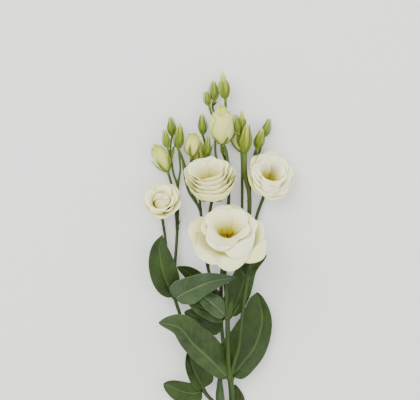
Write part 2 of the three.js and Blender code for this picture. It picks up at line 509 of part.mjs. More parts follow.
// Pistil with its broad stigma, in a ring of five stamens.
function bloomCentre(bloom) {
  const floor = HEART_HEIGHT + GAP;
  const height = bloom.centre - floor;
  const pistil = new THREE.CylinderGeometry(1.1, 2.3, height, 6).rotateX(Math.PI / 2);
  const stigma = new THREE.IcosahedronGeometry(1.8).scale(1.7, 1.2, 0.8);
  const parts = [pistil.translate(0, 0, floor + height / 2), stigma.translate(0, 0, bloom.centre)];
  for (let i = 0; i < STAMENS; i++) {
    const stamen = new THREE.CylinderGeometry(1, 0.7, height * 0.8, 3).rotateX(Math.PI / 2);
    stamen.rotateY(0.3).translate(2.4, 0, floor + height * 0.42);
    parts.push(stamen.rotateZ((i * 2 * Math.PI) / STAMENS));
  }
  const slim = Math.min(1, bloom.centre / 15);
  return join(parts.map((part) => solidOf(part.scale(slim, slim, 1).applyMatrix4(bloomMatrix(bloom)))));
}

// The calyx of a bloom lies under its outermost petals.
function bloomCalyx(bloom) {
  const outer = bloom.whorls.at(-1);
  const under = (angle, s, out, down) => {
    const petal = petalLine(outer, bloom.droop, angle, s);
    return [petal.x + out, petal.y - down];
  };
  return calyx(bloomMatrix(bloom), [
    () => [bloom.stalk, -CALYX_HEIGHT - GAP],
    (angle, isKeel) => (isKeel ? under(angle, 0.2, 0, 3.6) : [4.6, -1.6]),
    (angle, isKeel) => (isKeel ? under(angle, 0.44, 1.6, 3) : [4.8, -1]),
    (angle, isKeel) => (isKeel ? under(angle, 0.2, 0, 2.4) : [4.4, -0.8]),
    () => [3.8, -GAP],
  ]);
}

// The leaves

// Half width of a leaf at v, as a share of its greatest: widest below the middle, with a pointed tip.
function leafOutline(full, v) {
  const widest = LEAF_BASE_POWER / (LEAF_BASE_POWER + LEAF_TIP_POWER);
  const shape = (x) => x ** LEAF_BASE_POWER * (1 - x) ** LEAF_TIP_POWER;
  return 0.2 * (1 - v) ** 4 + (shape(v) / shape(widest)) ** full;
}

function leafSurface(leaf) {
  const curve = new THREE.CatmullRomCurve3(leaf.rib.map(vector), false, "catmullrom", 0.5);
  const [facesBase, facesTip] = leaf.faces.map(vector);
  return (u, v) => {
    const forward = curve.getTangent(v);
    const facing = facesBase.clone().lerp(facesTip, v);
    const side = new THREE.Vector3().crossVectors(forward, facing).normalize();
    const up = new THREE.Vector3().crossVectors(side, forward);
    const half = (u < 0 ? leaf.left : leaf.right) * leafOutline(leaf.full ?? 0.85, v) + LEAF_MARGIN;
    const fold = radians(leaf.fold);
    const ripple = Math.sin(LEAF_WAVES * Math.PI * v + (u < 0 ? 0 : 1.6));
    const wave = leaf.wave * u * u * ripple * Math.sin(Math.PI * v);
    return curve.getPoint(v)
      .addScaledVector(side, u * half * Math.cos(fold))
      .addScaledVector(up, Math.abs(u) * half * Math.sin(fold) + wave);
  };
}

function leafSolid(leaf) {
  const rise = LEAF_RIB - LEAF_EDGE;
  const thickness = (u, v) => LEAF_EDGE + rise * (1 - Math.abs(u)) ** 2 * (1 - 0.6 * v);
  const isLarge = leaf.rib.length > 4;
  return blade(isLarge ? 4 : 2, isLarge ? 6 : 5, thickness, leafSurface(leaf));
}

// Building the spray

function greenBody() {
  const parts = BRANCHES.map(([, start, end, route]) => branch(route, start, end, 0));
  for (const [place, radius] of SWELLINGS) parts.push(swelling(place, radius));
  parts.push(...BRACTS.map(bract), ...GREEN_NUBS.map(nub));
  parts.push(...BUDS.map(budCalyx), ...BLOOMS.map(bloomCalyx));
  return aboveTable(join(parts));
}

function stemClearance() {
  const branches = BRANCHES.map(([, start, end, route]) => branch(route, start, end, GAP));
  const swellings = SWELLINGS.map(([place, radius]) => swelling(place, radius + GAP));
  return join([...branches, ...swellings]);
}

const spray = new THREE.Group();
spray.position.copy(ORIGIN).negate();

function addNode(name, solid, color, roughness) {
  const { numProp, vertProperties, triVerts } = solid.getMesh();
  const geometry = new THREE.BufferGeometry();
  geometry.setAttribute("position", new THREE.BufferAttribute(vertProperties, numProp));
  geometry.setIndex(new THREE.BufferAttribute(triVerts, 1));
  geometry.computeVertexNormals();
  const material = new THREE.MeshStandardMaterial({ color, roughness, metalness: 0 });
  const mesh = new THREE.Mesh(geometry, material);
  mesh.name = name;
  spray.add(mesh);
}

const clearance = stemClearance();
addNode("spray_stem", greenBody(), STEM_GREEN, 0.6);
for (const leaf of LEAVES)
  addNode(leaf.name, aboveTable(leafSolid(leaf).subtract(clearance)), LEAF_GREEN, 0.5);
for (const bloom of BLOOMS) {
  const petals = join([bloomHeart(bloom), ...bloomPetals(bloom)]);
  addNode(`${bloom.name}_petals`, aboveTable(petals), PETAL_WHITE, 0.6);
  addNode(`${bloom.name}_centre`, bloomCentre(bloom), CENTRE_GOLD, 0.7);
}
for (const bud of BUDS)
  addNode(bud.name, aboveTable(budPetals(bud)), bud.cream ? BUD_CREAM : BUD_GREEN, 0.6);

export default spray;
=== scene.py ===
import math

import bmesh
import bpy
from mathutils import Matrix, Vector, noise


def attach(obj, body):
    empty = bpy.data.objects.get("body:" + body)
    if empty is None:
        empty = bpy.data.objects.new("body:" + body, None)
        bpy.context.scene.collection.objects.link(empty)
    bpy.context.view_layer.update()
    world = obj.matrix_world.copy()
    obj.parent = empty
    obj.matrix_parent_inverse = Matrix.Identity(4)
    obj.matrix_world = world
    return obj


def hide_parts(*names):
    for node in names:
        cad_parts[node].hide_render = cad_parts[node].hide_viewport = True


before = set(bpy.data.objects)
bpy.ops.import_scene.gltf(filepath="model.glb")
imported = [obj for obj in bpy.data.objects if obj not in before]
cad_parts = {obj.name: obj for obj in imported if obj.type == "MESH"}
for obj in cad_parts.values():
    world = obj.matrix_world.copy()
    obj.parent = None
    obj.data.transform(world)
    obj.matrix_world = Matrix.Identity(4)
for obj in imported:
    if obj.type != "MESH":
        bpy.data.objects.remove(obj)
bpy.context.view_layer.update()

# A cut stem of double white lisianthus, laid down on a table with its blooms facing up.
# Places are in millimetres from the cut end of the main stem, on the table, as in the part.
MM = 0.001
ORIGIN = Vector((-11.1, 194.9, 0))
WELD = 1e-6

# Petals: radius of the root, waves and frills along a lip, the side to which some petals lean out,
# and how wide, how twisted and how tightly closed at the tip a rolled petal is
PETAL_ROOT = 2
RUFFLES = 7
WAVE_LENGTH = 9
FRILL_LENGTH = 3.4
LEAN_SIDE = math.radians(202)
ROLLED_HALF_ANGLE = math.radians(54)
ROLLED_TWIST = 0.8
FURLED = 0.85

# How far from the heart of a bloom its petals have turned white from a gold darkened deep in the cup
# by painted shade, and what stands in the heart
HEART_GOLD_AND_SHADE_REACH = 45
HEART_FLOOR = 4.6
STAMENS = 5
LOBE_PLACE = 2.4
LOBE_SIZE = (3.2, 2.8, 2.7)

# Sepals, whose half angles are in degrees, and the swollen cup from which they rise
SEPALS = 5
FIRST_SEPAL = math.radians(18)
SEPAL_FOOT_HALF_ANGLE = 36
SEPAL_KEEL = 0.55
BUD_SEPAL_HALF_ANGLE = 15
BLOOM_SEPAL_HALF_ANGLE = 21
BLOOM_SEPAL_REACH = 0.42
CALYX_HEIGHT = 3
BLOOM_CUP = 3.6
BUD_STALK = 1.1

# Leaves: margin, waves, fullness towards the base and the tip, side veins with the quilting between
# them, and the groove over the rib
LEAF_MARGIN = 0.35
LEAF_WAVES = 5
LEAF_BASE_POWER = 0.6
LEAF_TIP_POWER = 0.9
VEIN_PAIRS = 9
VEIN_SLOPE = 0.22
QUILTING = 0.45
GROOVE_DEPTH = 0.7
GROOVE_WIDTH = 1.3

# Branches: how they flare from a joint, how much stouter the slim ones grow, and between which
# distances from the cut end they turn from old green to young green
FLARE = 0.28
FLARE_LENGTH = 4
SLIM_BRANCH = 2
SLIM_SWELL = 1.12
OLD_STEM = 235
YOUNG_STEM = 345

# Thicknesses, and how far above the table a sheet stays
PETAL_THICKNESS = 0.6
BUD_PETAL_THICKNESS = 0.45
LEAF_THICKNESS = 0.7
SEPAL_THICKNESS = 0.5
TABLE_CLEARANCE = 0.4

# Squares across and along a sheet, and how often they are divided once more
PETAL_GRID = (16, 16)
BUD_PETAL_GRID = (8, 12)
SEPAL_GRID = (4, 10)
LEAF_GRID = (20, 40)
SHEET_LEVELS = 1

# Places where the stem branches
LOW_JOINT = (2, 34, 7)
SIDE_JOINT = (-26, 68, 10)
LEAFY_JOINT = (0.5, 81, 14)
FRONT_JOINT = (-2.5, 142, 22)
LEFT_JOINT = (-56, 162.5, 12)
RIGHT_JOINT = (17.4, 183, 20)
LEFT_FORK = (-53, 231, 4)
TWIN_FORK = (-52.6, 275, 4)
MIDDLE_FORK = (-29.6, 249.4, 11)
TALL_FORK = (-2.4, 296, 7)

# The stem and its branches: radius at the start, radius at the end, route
BRANCHES = [
    (3.3, 3, [(0.5, 0.4, 3.1), (1.5, 18, 4.6), LOW_JOINT, (2.2, 60, 10.5), LEAFY_JOINT]),
    (1.9, 1.6, [LOW_JOINT, (-12, 52, 9), SIDE_JOINT, (-33, 90, 8), (-44, 125, 8),
                (-50, 144, 9.5), LEFT_JOINT]),
    (1.4, 1.3, [LEFT_JOINT, (-61, 186, 8), (-63.6, 208, 6), (-65.6, 225, 4.4), (-68.4, 243, 3.6),
                (-69, 250, 8)]),
    (1.5, 1.4, [LEFT_JOINT, (-55.5, 190, 13), (-54, 212, 8), LEFT_FORK]),
    (1.3, 1.2, [LEFT_FORK, (-54.8, 250, 1.2), (-59, 276, 4), (-62.7, 289, 9)]),
    (1.3, 1.2, [LEFT_FORK, (-52.4, 252, 1.2), TWIN_FORK]),
    (1, 0.9, [TWIN_FORK, (-56.6, 286, 6), (-58.4, 297, 9), (-59.5, 305, 11), (-59.6, 315, 10.4),
              (-58.4, 325, 9)]),
    (0.9, 0.9, [(-59.5, 304, 10.8), (-61.4, 309, 15), (-62.6, 313, 17.5)]),
    (1, 1, [TWIN_FORK, (-50, 290, 7), (-50.6, 301, 10), (-51.8, 312.5, 13)]),
    (1.7, 0.8, [(-45.4, 291, 6.4), (-48, 302, 9.6), (-51.6, 311.5, 12.6)]),
    (1.1, 1.5, [(-33.4, 256.6, 10), (-41, 268, 6), (-44.4, 280, 5.4), (-45.4, 291, 6.4)]),
    (2.7, 1.9, [LEAFY_JOINT, (-1.5, 97, 16.5), (-2, 118, 20), FRONT_JOINT, (-3.3, 165, 22),
                (-5.2, 184, 21.5), (-4.4, 197, 24.5), (-2.8, 208, 31), (-2.5, 212.4, 35.4)]),
    (2.1, 1.6, [LEAFY_JOINT, (5, 98, 17), (9.5, 115, 19), (13, 148, 20), RIGHT_JOINT,
                (20, 202, 17), (23.4, 224, 12), (27.5, 245, 7), (34, 263, 2.4), (37, 272, 4.6)]),
    (1.7, 1.4, [FRONT_JOINT, (-9, 158, 18), (-16.5, 174, 15), (-22.2, 193, 14), (-26, 222, 13),
                MIDDLE_FORK]),
    (1.4, 1.6, [(-22.2, 193, 14), (-22.6, 222, 15.5), (-20.4, 247, 14), (-18.4, 258, 15),
                (-18, 264, 19)]),
    (1.2, 1.5, [MIDDLE_FORK, (-35.8, 263, 8), (-39.4, 280, 4.4), (-39.2, 293, 8),
                (-38.4, 304, 16.4)]),
    (1.2, 1.2, [MIDDLE_FORK, (-30.3, 261, 8), (-31, 280, 5.2), (-31.4, 296, 6)]),
    (1, 1, [(-30.8, 272, 6.2), (-25, 292, 2.6), (-24.4, 311, 3), (-27.2, 326.5, 9.6)]),
    (1, 1.1, [(-30.5, 266, 6.8), (-25.4, 292, 4.6), (-23.6, 304, 12.6)]),
    (1.8, 1.5, [LEAFY_JOINT, (-4, 98, 10.5), (-7.4, 122, 9), (-9, 150, 8.5), (-8, 190, 8),
                (-4.4, 230, 7), (-1, 262, 5.6), TALL_FORK]),
    (1.5, 1.5, [TALL_FORK, (-3.6, 308, 11.5), (-7, 316.5, 18)]),
    (1.2, 1.3, [TALL_FORK, (-8, 311, 4.6), (-7.6, 330, 4), (-4.4, 350, 7.4), (-4.6, 362.5, 13.6)]),
    (1, 1, [(-7.8, 322, 4.2), (-12, 336, 0.7), (-16.6, 350, 2.6), (-17.4, 356, 5),
            (-15.6, 361, 7.7)]),
    (1, 1, [(-1.2, 266, 5.8), (-10, 288, 3.8), (-14.4, 307, 3.6), (-15, 328, 3.4), (-18.6, 346, 7),
            (-21, 355.5, 11)]),
    (1.2, 1.3, [RIGHT_JOINT, (15.4, 212, 12), (12.6, 240, 8), (12.4, 270, 7), (12.3, 296, 6.6),
                (11.7, 309, 8)]),
    (1.9, 2.2, [RIGHT_JOINT, (18.6, 212, 15), (19.3, 240, 13), (19.4, 266, 13), (14.9, 288, 16.4),
                (15, 308, 20.6)]),
    (1.2, 1.2, [(14.9, 288, 15), (13, 308, 14), (11.5, 326.5, 17.6)]),
    (0.8, 0.8, [(12.6, 311, 14.2), (7.6, 318, 19), (8.6, 328.5, 27.2)]),
    (1.6, 1.5, [(19.4, 258, 13), (20.6, 278, 5.4), (23, 297, 3.4), (27.3, 312.5, 11.6)]),
    (1.2, 1.2, [(22.4, 292, 4), (29.6, 308, 3), (34.2, 324, 6.4)]),
]
# Swollen joints: place, radius
SWELLINGS = [
    (LOW_JOINT, 4.1), (SIDE_JOINT, 2.6), (LEAFY_JOINT, 4.2), (FRONT_JOINT, 3.4), (LEFT_JOINT, 2.7),
    (RIGHT_JOINT, 2.7), (LEFT_FORK, 1.9), (TWIN_FORK, 1.6), (MIDDLE_FORK, 1.8), (TALL_FORK, 2),
]
# Small bracts at the joints: base, tip, half width
BRACTS = [
    ((-1.2, 142, 24), (2.6, 164, 28), 2.6), ((-0.6, 140, 23), (9.6, 155, 25), 0.9),
    ((16, 183, 21), (9.6, 190, 25), 1.1), ((18.6, 184, 21), (23, 193, 24), 1.1),
    ((-54, 231, 5), (-49.6, 240, 6), 0.8), ((-17, 355, 7), (-13, 359, 9), 0.9),
    ((-59, 305, 11.4), (-55.6, 315, 13), 1.2), ((-3, 298, 7.4), (-8, 307, 9), 1),
]
# The smallest buds, which are green all over: base, tip, half width
SMALLEST_BUDS = [
    ((-58.8, 305, 11), (-55.6, 313, 13), 1.8), ((-58.6, 301, 10), (-57.4, 313, 12), 1.4),
    ((-24.2, 299.5, 9.3), (-16.8, 316, 8), 1.7), ((-6.6, 306, 5), (-9.4, 314.6, 6), 1.8),
]

# Half widths of a bud from base to tip: closed, and the outer, middle and inner petals of a
# half-open one
CLOSED_BUD = (0.42, 0.84, 1, 0.87, 0.62, 0.42, 0.28)
CREAM_BUD = (0.34, 0.8, 0.99, 1, 0.92, 0.74, 0.5)
MIDDLE_BUD = (0.32, 0.65, 0.8, 0.84, 0.8, 0.7, 0.5)
INNER_BUD = (0.3, 0.5, 0.6, 0.64, 0.62, 0.52, 0.38)
# Buds: base and tip of the rolled petals, greatest width, and of the sepals how far up they reach
# and how far their tips stand away. A half-open cream bud adds how far up its outer petals reach
# and how green it still is. A pale closed one adds 0 and how much paler it is, below 0
BUDS = [
    ("bud_top_1", (-4.6, 363, 14), (-7.8, 390, 17), 10.4, (0.62, 0.3), 0, -0.7),
    ("bud_top_2", (-15.4, 361.5, 8), (-17, 381.6, 9), 9, (0.86, 0.3)),
    ("bud_top_3", (-21.2, 356, 11.4), (-25, 370, 13.4), 6.4, (0.95, 0.3)),
    ("bud_middle", (-27.3, 327, 10), (-28, 348, 14), 8, (0.9, 0.3)),
    ("bud_left_1", (-58.3, 325.6, 9.2), (-59.4, 345, 11), 7.8, (0.9, 0.3)),
    ("bud_left_2", (-51.8, 313, 13.3), (-50.2, 339, 18), 9.8, (0.8, 0.3)),
    ("bud_left_3", (-62.7, 313.5, 17.8), (-66, 331, 20), 7, (1, 0.3)),
    ("bud_right_1", (11.5, 327, 18), (12, 351, 21), 9, (0.6, 0.3), 0, -0.4),
    ("bud_right_2", (8.6, 329, 27.6), (5.6, 345.6, 29), 5, (1, 0.3)),
    ("bud_right_3", (15, 308.6, 21), (17, 337.4, 31), 12.4, (0.95, 0.3), 0, -0.2),
    ("bud_right_4", (27.4, 313, 12.2), (33, 332.4, 18), 9.6, (0.9, 0.3)),
    ("bud_right_5", (34.4, 324.6, 6.8), (40.6, 343, 10), 7.6, (0.95, 0.3)),
    ("bud_small", (-23.6, 304.6, 13), (-21.6, 324, 18), 7, (1, 0.3)),
    ("bud_cream_left", (-62.8, 289.6, 9.4), (-76, 317, 16), 16, (0.5, 1.6), 0.84, 0.6),
    ("bud_cream_tall", (-7.2, 317, 18.5), (-9, 356.4, 28), 25.4, (0.22, 0), 0.74, 0.3),
    ("bud_cream_right", (11.6, 309.6, 7.8), (1.4, 340, 7.6), 14, (0.5, 0.5), 0.86, 0.3),
    ("bud_cream_middle", (-38.4, 304.6, 17), (-36.4, 328, 23), 14.5, (0.55, 0.8), 0.88, 0.55),
    ("bud_cream_hidden", (-31.4, 296.6, 6.4), (-32.6, 321, 6.2), 11.4, (0.5, 0.5), 0.88, 0.4),
]

# Blooms: base of the petals, direction faced, stalk radius, height of the stigma, how sharply the
# petals towards the stem droop, and whorls from the inside out. A whorl: its petals, root height,
# belly, throat and lip as (radius, height) on the side away from the stem, throat and lip on the
# side towards it, then dip, ruffle, lap and, if it leans out to the left, how far. A petal: the
# angle it faces, half its angle, how far it follows the line, how much further it does so on its
# left edge, its own swell and how pointed its lip is, which is below 0 for a square lip. Where a
# petal leaves out some of the last three, they are those of a plain one
PLAIN_PETAL = (0, 0, 0.06)
BLOOMS = {
    "bloom_front": ((-2.5, 213, 36), (0, 0.77, 0.64), 1.9, 18.8, 3, [
        ([(44, 52, 0.97, 0.05), (128, 58, 1), (242, 70, 0.98), (336, 48, 0.92)],
         3.6, (10, 5), (10, 30), (26, 30), (7, 40), (27, 14), 0.6, 0.6, 0.9),
        ([(305, 50, 1), (12, 50, 0.95, -0.04), (89, 50, 1), (161, 50, 0.88), (232, 50, 0.88)],
         2.9, (16, 4), (18, 24), (31, 28), (13, 38), (33.4, 7.6), 1.2, 0.9, 1.2),
        ([(78, 54, 1), (172, 50, 1.03, -0.02, 0, 0.08), (214, 44, 1, -0.03, 0, 0.03),
          (274, 44, 0.98, 0, 0, 0.14), (326, 40, 1.12, 0, 0, 0.2), (4, 42, 1, -0.02, 0, 0.1)],
         1.8, (23, 0), (26, 18), (37, 23), (27, 22), (39.4, 0.6), 2.4, 1.5, 1.4),
    ]),
    "bloom_centre": ((-18, 264, 19.5), (-0.04, 0.87, 0.49), 1.6, 15, 1.6, [
        ([(174, 66, 1.03), (60, 62, 0.92), (296, 70, 0.92, 0.08)],
         3.6, (9, 4), (8, 30), (17, 36), (9.5, 29), (13, 29), 0.6, 0.8, 0.6, 7.4),
        ([(110, 56, 1), (30, 54, 0.97), (318, 54, 0.95, 0.05), (250, 58, 0.95, 0.13),
          (180, 50, 1)],
         3, (12, 3), (11, 30), (19.6, 34.6), (12.5, 25), (15.2, 25), 0.8, 1, 0.6, 5.6),
        ([(352, 50, 1, -0.04), (60, 46, 0.96), (129, 46, 1), (210, 52, 0.94, 0.08),
          (292, 58, 0.95, -0.13)],
         2.5, (14.5, 1.5), (14, 28), (22.4, 32), (15.5, 21), (17.6, 21), 1, 1.2, 0.6, 4.2),
        ([(12, 46, 1), (87, 46, 0.96), (162, 48, 1.04), (238, 56, 0.95, 0.13),
          (318, 46, 1, 0.04)],
         2, (17.5, 0), (17, 24), (25, 29), (18.4, 16), (20, 17), 1.2, 1.4, 0.7, 2.7),
        ([(344, 48, 1), (52, 44, 0.95), (124, 46, 0.98), (198, 48, 1.04, 0.04),
          (276, 56, 0.99, -0.05)],
         1.4, (20.5, -1.8), (20, 19), (27.4, 25), (21, 10), (21.6, 13.5), 1.4, 1.5, 0.8, 0.9),
    ]),
    "bloom_right": ((37.4, 273, 5.6), (0.24, 0.67, 0.7), 1.6, 9.6, 1.6, [
        ([(35, 60, 0.94), (145, 66, 1), (262, 72, 1)],
         3.6, (10.4, 4), (10.8, 22), (15.4, 24.6), (7.2, 31), (15.4, 17.4), 0.5, 0.6, 0.5, 2),
        ([(80, 54, 1.04), (172, 56, 1), (252, 60, 0.98), (350, 54, 0.95)],
         2.9, (10.6, 3), (10.6, 22), (17, 26), (8, 27), (17.6, 13.6), 0.8, 0.8, 0.5, 2),
        ([(42, 46, 1), (112, 46, 1), (182, 50, 1.02), (250, 54, 0.96), (328, 48, 1.02)],
         2.3, (12, 2), (12.2, 20), (19.8, 27.6), (11.6, 22), (20, 10.4), 1, 1.1, 0.6, 1.4),
        ([(8, 48, 0.94), (82, 44, 0.96), (154, 46, 1), (226, 48, 1.02), (298, 48, 0.96)],
         1.7, (13.6, 1), (14.4, 17), (24, 29), (14.4, 18), (22.2, 8), 1.4, 1.2, 0.7, 0.6),
        ([(335, 46, 0.93), (52, 44, 0.95), (122, 44, 0.96), (194, 46, 1.04), (266, 46, 0.97)],
         1.1, (15.4, 0), (16.8, 15), (26, 25.6), (17, 13), (24.2, 5.6), 1.6, 1.5, 1),
    ]),
    "bloom_left": ((-68.6, 253, 8.8), (0, 0.42, 0.91), 1.3, 10, 1.6, [
        ([(340, 96, 1, 0, 1.4, -0.1), (100, 84, 1, 0, 0.7, -0.1), (220, 84, 1, 0, 0, -0.1)],
         3.6, (7.8, 3), (13.4, 19.6), (0.3, 22.6), (13.4, 19), (0.3, 21.8), 0.2, 0.3, 1.2, -4.4),
        ([(70, 54, 1), (176, 60, 1), (262, 50, 1), (334, 54, 0.96)],
         2.9, (11.5, 0.5), (6.8, 20), (14, 21), (6.4, 21), (12.8, 19.5), 0.6, 0.8, 0.4, 3.4),
        ([(15, 48, 1), (87, 46, 0.97), (159, 48, 1), (231, 48, 1), (303, 46, 0.96)],
         2.2, (12, 0), (11, 18.6), (17, 20.4), (9.5, 20), (15.6, 17.5), 0.8, 1.1, 0.8),
        ([(330, 48, 1), (42, 46, 1), (114, 46, 0.97), (186, 48, 0.89), (258, 48, 1)],
         1.4, (13.5, -1), (14, 15), (20.3, 17.6), (12.5, 15.5), (18.8, 14), 1, 1.3, 0.9),
    ]),
}

# Leaves: rib from base to tip, the way the upper face looks at the base and at the tip, half width
# to the left and right of the rib, fold in degrees, edge wave, fullness
LEAVES = {
    "leaf_left": ([(-57, 163, 13), (-63.5, 177, 15), (-69, 195, 17), (-70.6, 212, 18),
                   (-68, 225, 17)], (0.2, 0, 1), (0.1, 0, 1), 13.8, 14, 12, 0.8, 1.2),
    "leaf_long": ([(-54.6, 161, 15), (-47, 166, 24), (-37, 171, 31), (-18, 178.6, 33),
                   (7.4, 183, 31)], (0, -0.2, 1), (0.1, -0.4, 1), 15.5, 13, 10, 1.2, 1.1),
    "leaf_front": ([(-2.6, 82, 17), (-21, 101, 26), (-38, 117, 31), (-51, 132, 31),
                    (-71.6, 137.4, 29)], (0.35, 0.2, 1), (0.1, 0.1, 1), 10.5, 21, -8, 1.4, 0.8),
    "leaf_right": ([(2.8, 83, 12), (13, 95, 8), (26, 113, 7), (33, 140, 9), (27.5, 167.4, 13)],
                   (-0.1, 0, 1), (-0.1, 0, 1), 30, 12.4, 13, 1, 0.62),
    "leaf_back": ([(0.4, 144, 20), (8, 160, 12), (14, 176, 9), (21, 192, 9), (37, 204.6, 13)],
                  (0.1, 0, 1), (0.2, -0.2, 1), 15, 9.5, 8, 1, 0.8),
    "leaf_inner_left": ([(-5, 147, 15), (-18, 161, 11), (-31, 176, 10), (-42, 187, 12),
                         (-53, 193, 17)], (0, 0, 1), (0, -0.3, 1), 8, 10, 8, 0.8, 0.85),
    "leaf_small_upper": ([(-4.6, 144, 24), (-14, 153, 25), (-25, 162, 23), (-35, 170, 20)],
                         (0.2, 0.3, 1), (0.3, 0.3, 1), 9, 10, 6, 0.8, 0.85),
    "leaf_small_middle": ([(-5, 141, 20), (-18, 147, 18.6), (-31, 153, 18), (-44, 160, 17)],
                          (0, 0.1, 1), (0, 0.3, 1), 8.4, 8.4, 10, 0.8, 0.85),
    "leaf_small_lower": ([(-9.6, 128, 9), (-22, 136, 10), (-36, 144, 12.4), (-46, 147, 14)],
                         (0, 0, 1), (0, 0, 1), 9, 9, 8, 0.8, 0.85),
    "leaf_low_upright": ([(-26.6, 70.6, 11), (-32, 80, 13), (-38, 93, 14), (-42, 108, 15)],
                         (0, 0.1, 1), (0.1, 0.1, 1), 9, 16, 24, 0.8, 0.7),
    "leaf_low_side": ([(-28, 66.6, 10), (-38.6, 65.6, 13), (-49, 68, 14), (-58.6, 72, 14),
                       (-67, 75, 12)], (0, 0, 1), (-0.2, 0.1, 1), 11.4, 10, 8, 0.8, 0.8),
    "leaf_stem_left": ([(-0.6, 36, 10), (-7, 52, 13.4), (-9.6, 70, 14.6), (-8.4, 89, 12)],
                       (-0.8, 0, 0.7), (-0.8, 0, 0.6), 7, 7, 10, 0.5, 0.85),
    "leaf_stem_right": ([(3.6, 36, 5), (9, 47, 3.6), (9.4, 60, 3.4), (5, 74, 3.4)],
                        (0, 0, 1), (0, 0, 1), 6, 6, 4, 0.5, 0.85),
}

# The view: its width and the place in its middle, and in metres how high the camera hangs over it
IMAGE_WIDTH = 420
IMAGE_MIDDLE = (-20, 260, 30)
CAMERA_HEIGHT = 3
SENSOR = 36

# Lights, in metres and watts: name, place, size, power
LIGHTS = [("window", (-1.1, 1.2, 2.0), 2.0, 80), ("fill", (1.5, -0.6, 2.2), 2.4, 33)]
SKY_STRENGTH = 2.05
TABLE_SIZE = 3
# The table top also glows by itself, painted light that lifts the shadows cast on it
TABLE_GLOW = 0.215


def smooth(low, high, x):
    t = min(max((x - low) / (high - low), 0), 1)
    return t * t * (3 - 2 * t)


def metres(point):
    return (Vector(point) - ORIGIN) * MM


def blend(a, b, t):
    return a + (b - a) * t


def ripple(a, b, c=0.0):
    """Smooth irregular waves between about -1 and 1."""
    return 1.4 * noise.noise(Vector((a, b, c)))


# Curves


def spline(points, t):
    """A point and the tangent on the smooth curve through equally spaced points."""
    span = min(int(t * (len(points) - 1)), len(points) - 2)
    w = t * (len(points) - 1) - span
    p1, p2 = Vector(points[span]), Vector(points[span + 1])
    p0 = Vector(points[span - 1]) if span else 2 * p1 - p2
    p3 = Vector(points[span + 2]) if span + 2 < len(points) else 2 * p2 - p1
    leaving, arriving = (p2 - p0) / 2, (p3 - p1) / 2
    a, b = 2 * p1 - 2 * p2 + leaving + arriving, 3 * p2 - 3 * p1 - 2 * leaving - arriving
    point = ((a * w + b) * w + leaving) * w + p1
    return point, ((3 * a * w + 2 * b) * w + leaving).normalized()


def profile(values, v):
    """The value at v, from 0 to 1, on a smooth curve through equally spaced values."""
    points = [(i / (len(values) - 1), value, 0) for i, value in enumerate(values)]
    return spline(points, min(max(v, 0), 1))[0].y


def bezier(root, belly, throat, lip, s):
    r = 1 - s
    return root * r ** 3 + 3 * belly * r * r * s + 3 * throat * r * s * s + lip * s ** 3


def turn_to(direction, base):
    """The turn that carries +Z to a direction, moved to a base."""
    axis = Vector(direction).normalized()
    side = Vector((0, 1, 0)).cross(axis).normalized()
    turn = Matrix((side, axis.cross(side), axis)).transposed().to_4x4()
    return Matrix.Translation(base) @ turn


# Meshes


def start_mesh():
    mesh = bmesh.new()
    mesh.loops.layers.uv.new("UVMap")
    mesh.verts.layers.float.new("thin")
    mesh.verts.layers.float.new("tone")
    mesh.verts.layers.float.new("along")
    return mesh


def sheet(mesh, grid, place, thin=lambda u, v: 0, tone=0.0, shade=lambda u, v: v):
    """Adds a grid, u from -1 to 1 across and v from 0 to 1 along, moved to place(u, v).

    Its vertices keep how much thinner it is, its tone and its place in a run of colours, which on
    blooms both carry painted shade.
    """
    across, along = grid
    made = bmesh.ops.create_grid(mesh, x_segments=across, y_segments=along, size=1, calc_uvs=True)
    thin_layer = mesh.verts.layers.float["thin"]
    tone_layer = mesh.verts.layers.float["tone"]
    along_layer = mesh.verts.layers.float["along"]
    for vertex in made["verts"]:
        u, v = vertex.co.x, (vertex.co.y + 1) / 2
        vertex[thin_layer] = thin(u, v)
        point = place(u, v)
        vertex[tone_layer] = tone(point) if callable(tone) else tone
        vertex[along_layer] = shade(u, v)
        point.z = max(point.z, TABLE_CLEARANCE)
        vertex.co = metres(point)
    return made["verts"]


def tube(mesh, route, radius, sides, steps, tone=0.0):
    """Adds a closed round bar along a smooth route, radius(t) thick."""
    def place(u, v):
        t = min(max((v * (steps + 2) - 1) / steps, 0), 1)
        point, forward = spline(route, t)
        side = Vector((0, 0, 1)).cross(forward).normalized()
        size = 0 if v in (0, 1) else radius(t)
        angle = math.pi * u
        return point + size * (math.cos(angle) * side + math.sin(angle) * forward.cross(side))
    verts = sheet(mesh, (sides, steps + 2), place, tone=tone)
    bmesh.ops.remove_doubles(mesh, verts=verts, dist=WELD)


def finish_piece(name, mesh, material, nodes=(), thickness=0.0):
    """Makes a finished piece that rides on the spray and stands for the nodes of the solids."""
    bmesh.ops.recalc_face_normals(mesh, faces=mesh.faces)
    for face in mesh.faces:
        face.smooth = True
    data = bpy.data.meshes.new(name)
    thin_layer = mesh.verts.layers.float["thin"]
    thinness = [vertex[thin_layer] for vertex in mesh.verts]
    mesh.to_mesh(data)
    mesh.free()
    data.materials.append(material)
    piece = bpy.data.objects.new(name, data)
    bpy.context.scene.collection.objects.link(piece)
    if thickness:
        group = piece.vertex_groups.new(name="thickness")
        for index, value in enumerate(thinness):
            group.add([index], 1 - value, "REPLACE")
        shell = piece.modifiers.new("Thickness", "SOLIDIFY")
        shell.thickness = thickness * MM
        shell.offset = 0
        shell.vertex_group = group.name
        soft = piece.modifiers.new("Soften", "SUBSURF")
        soft.levels = SHEET_LEVELS
        soft.render_levels = SHEET_LEVELS
    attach(piece, "root")
    if nodes:
        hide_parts(*nodes)


# Materials


def daylight(red, green, blue):
    """A colour from 0 to 255, as the eye sees it, in linear light."""
    def linear(value):
        value /= 255
        return value / 12.92 if value <= 0.04045 else ((value + 0.055) / 1.055) ** 2.4
    return (linear(red), linear(green), linear(blue), 1)


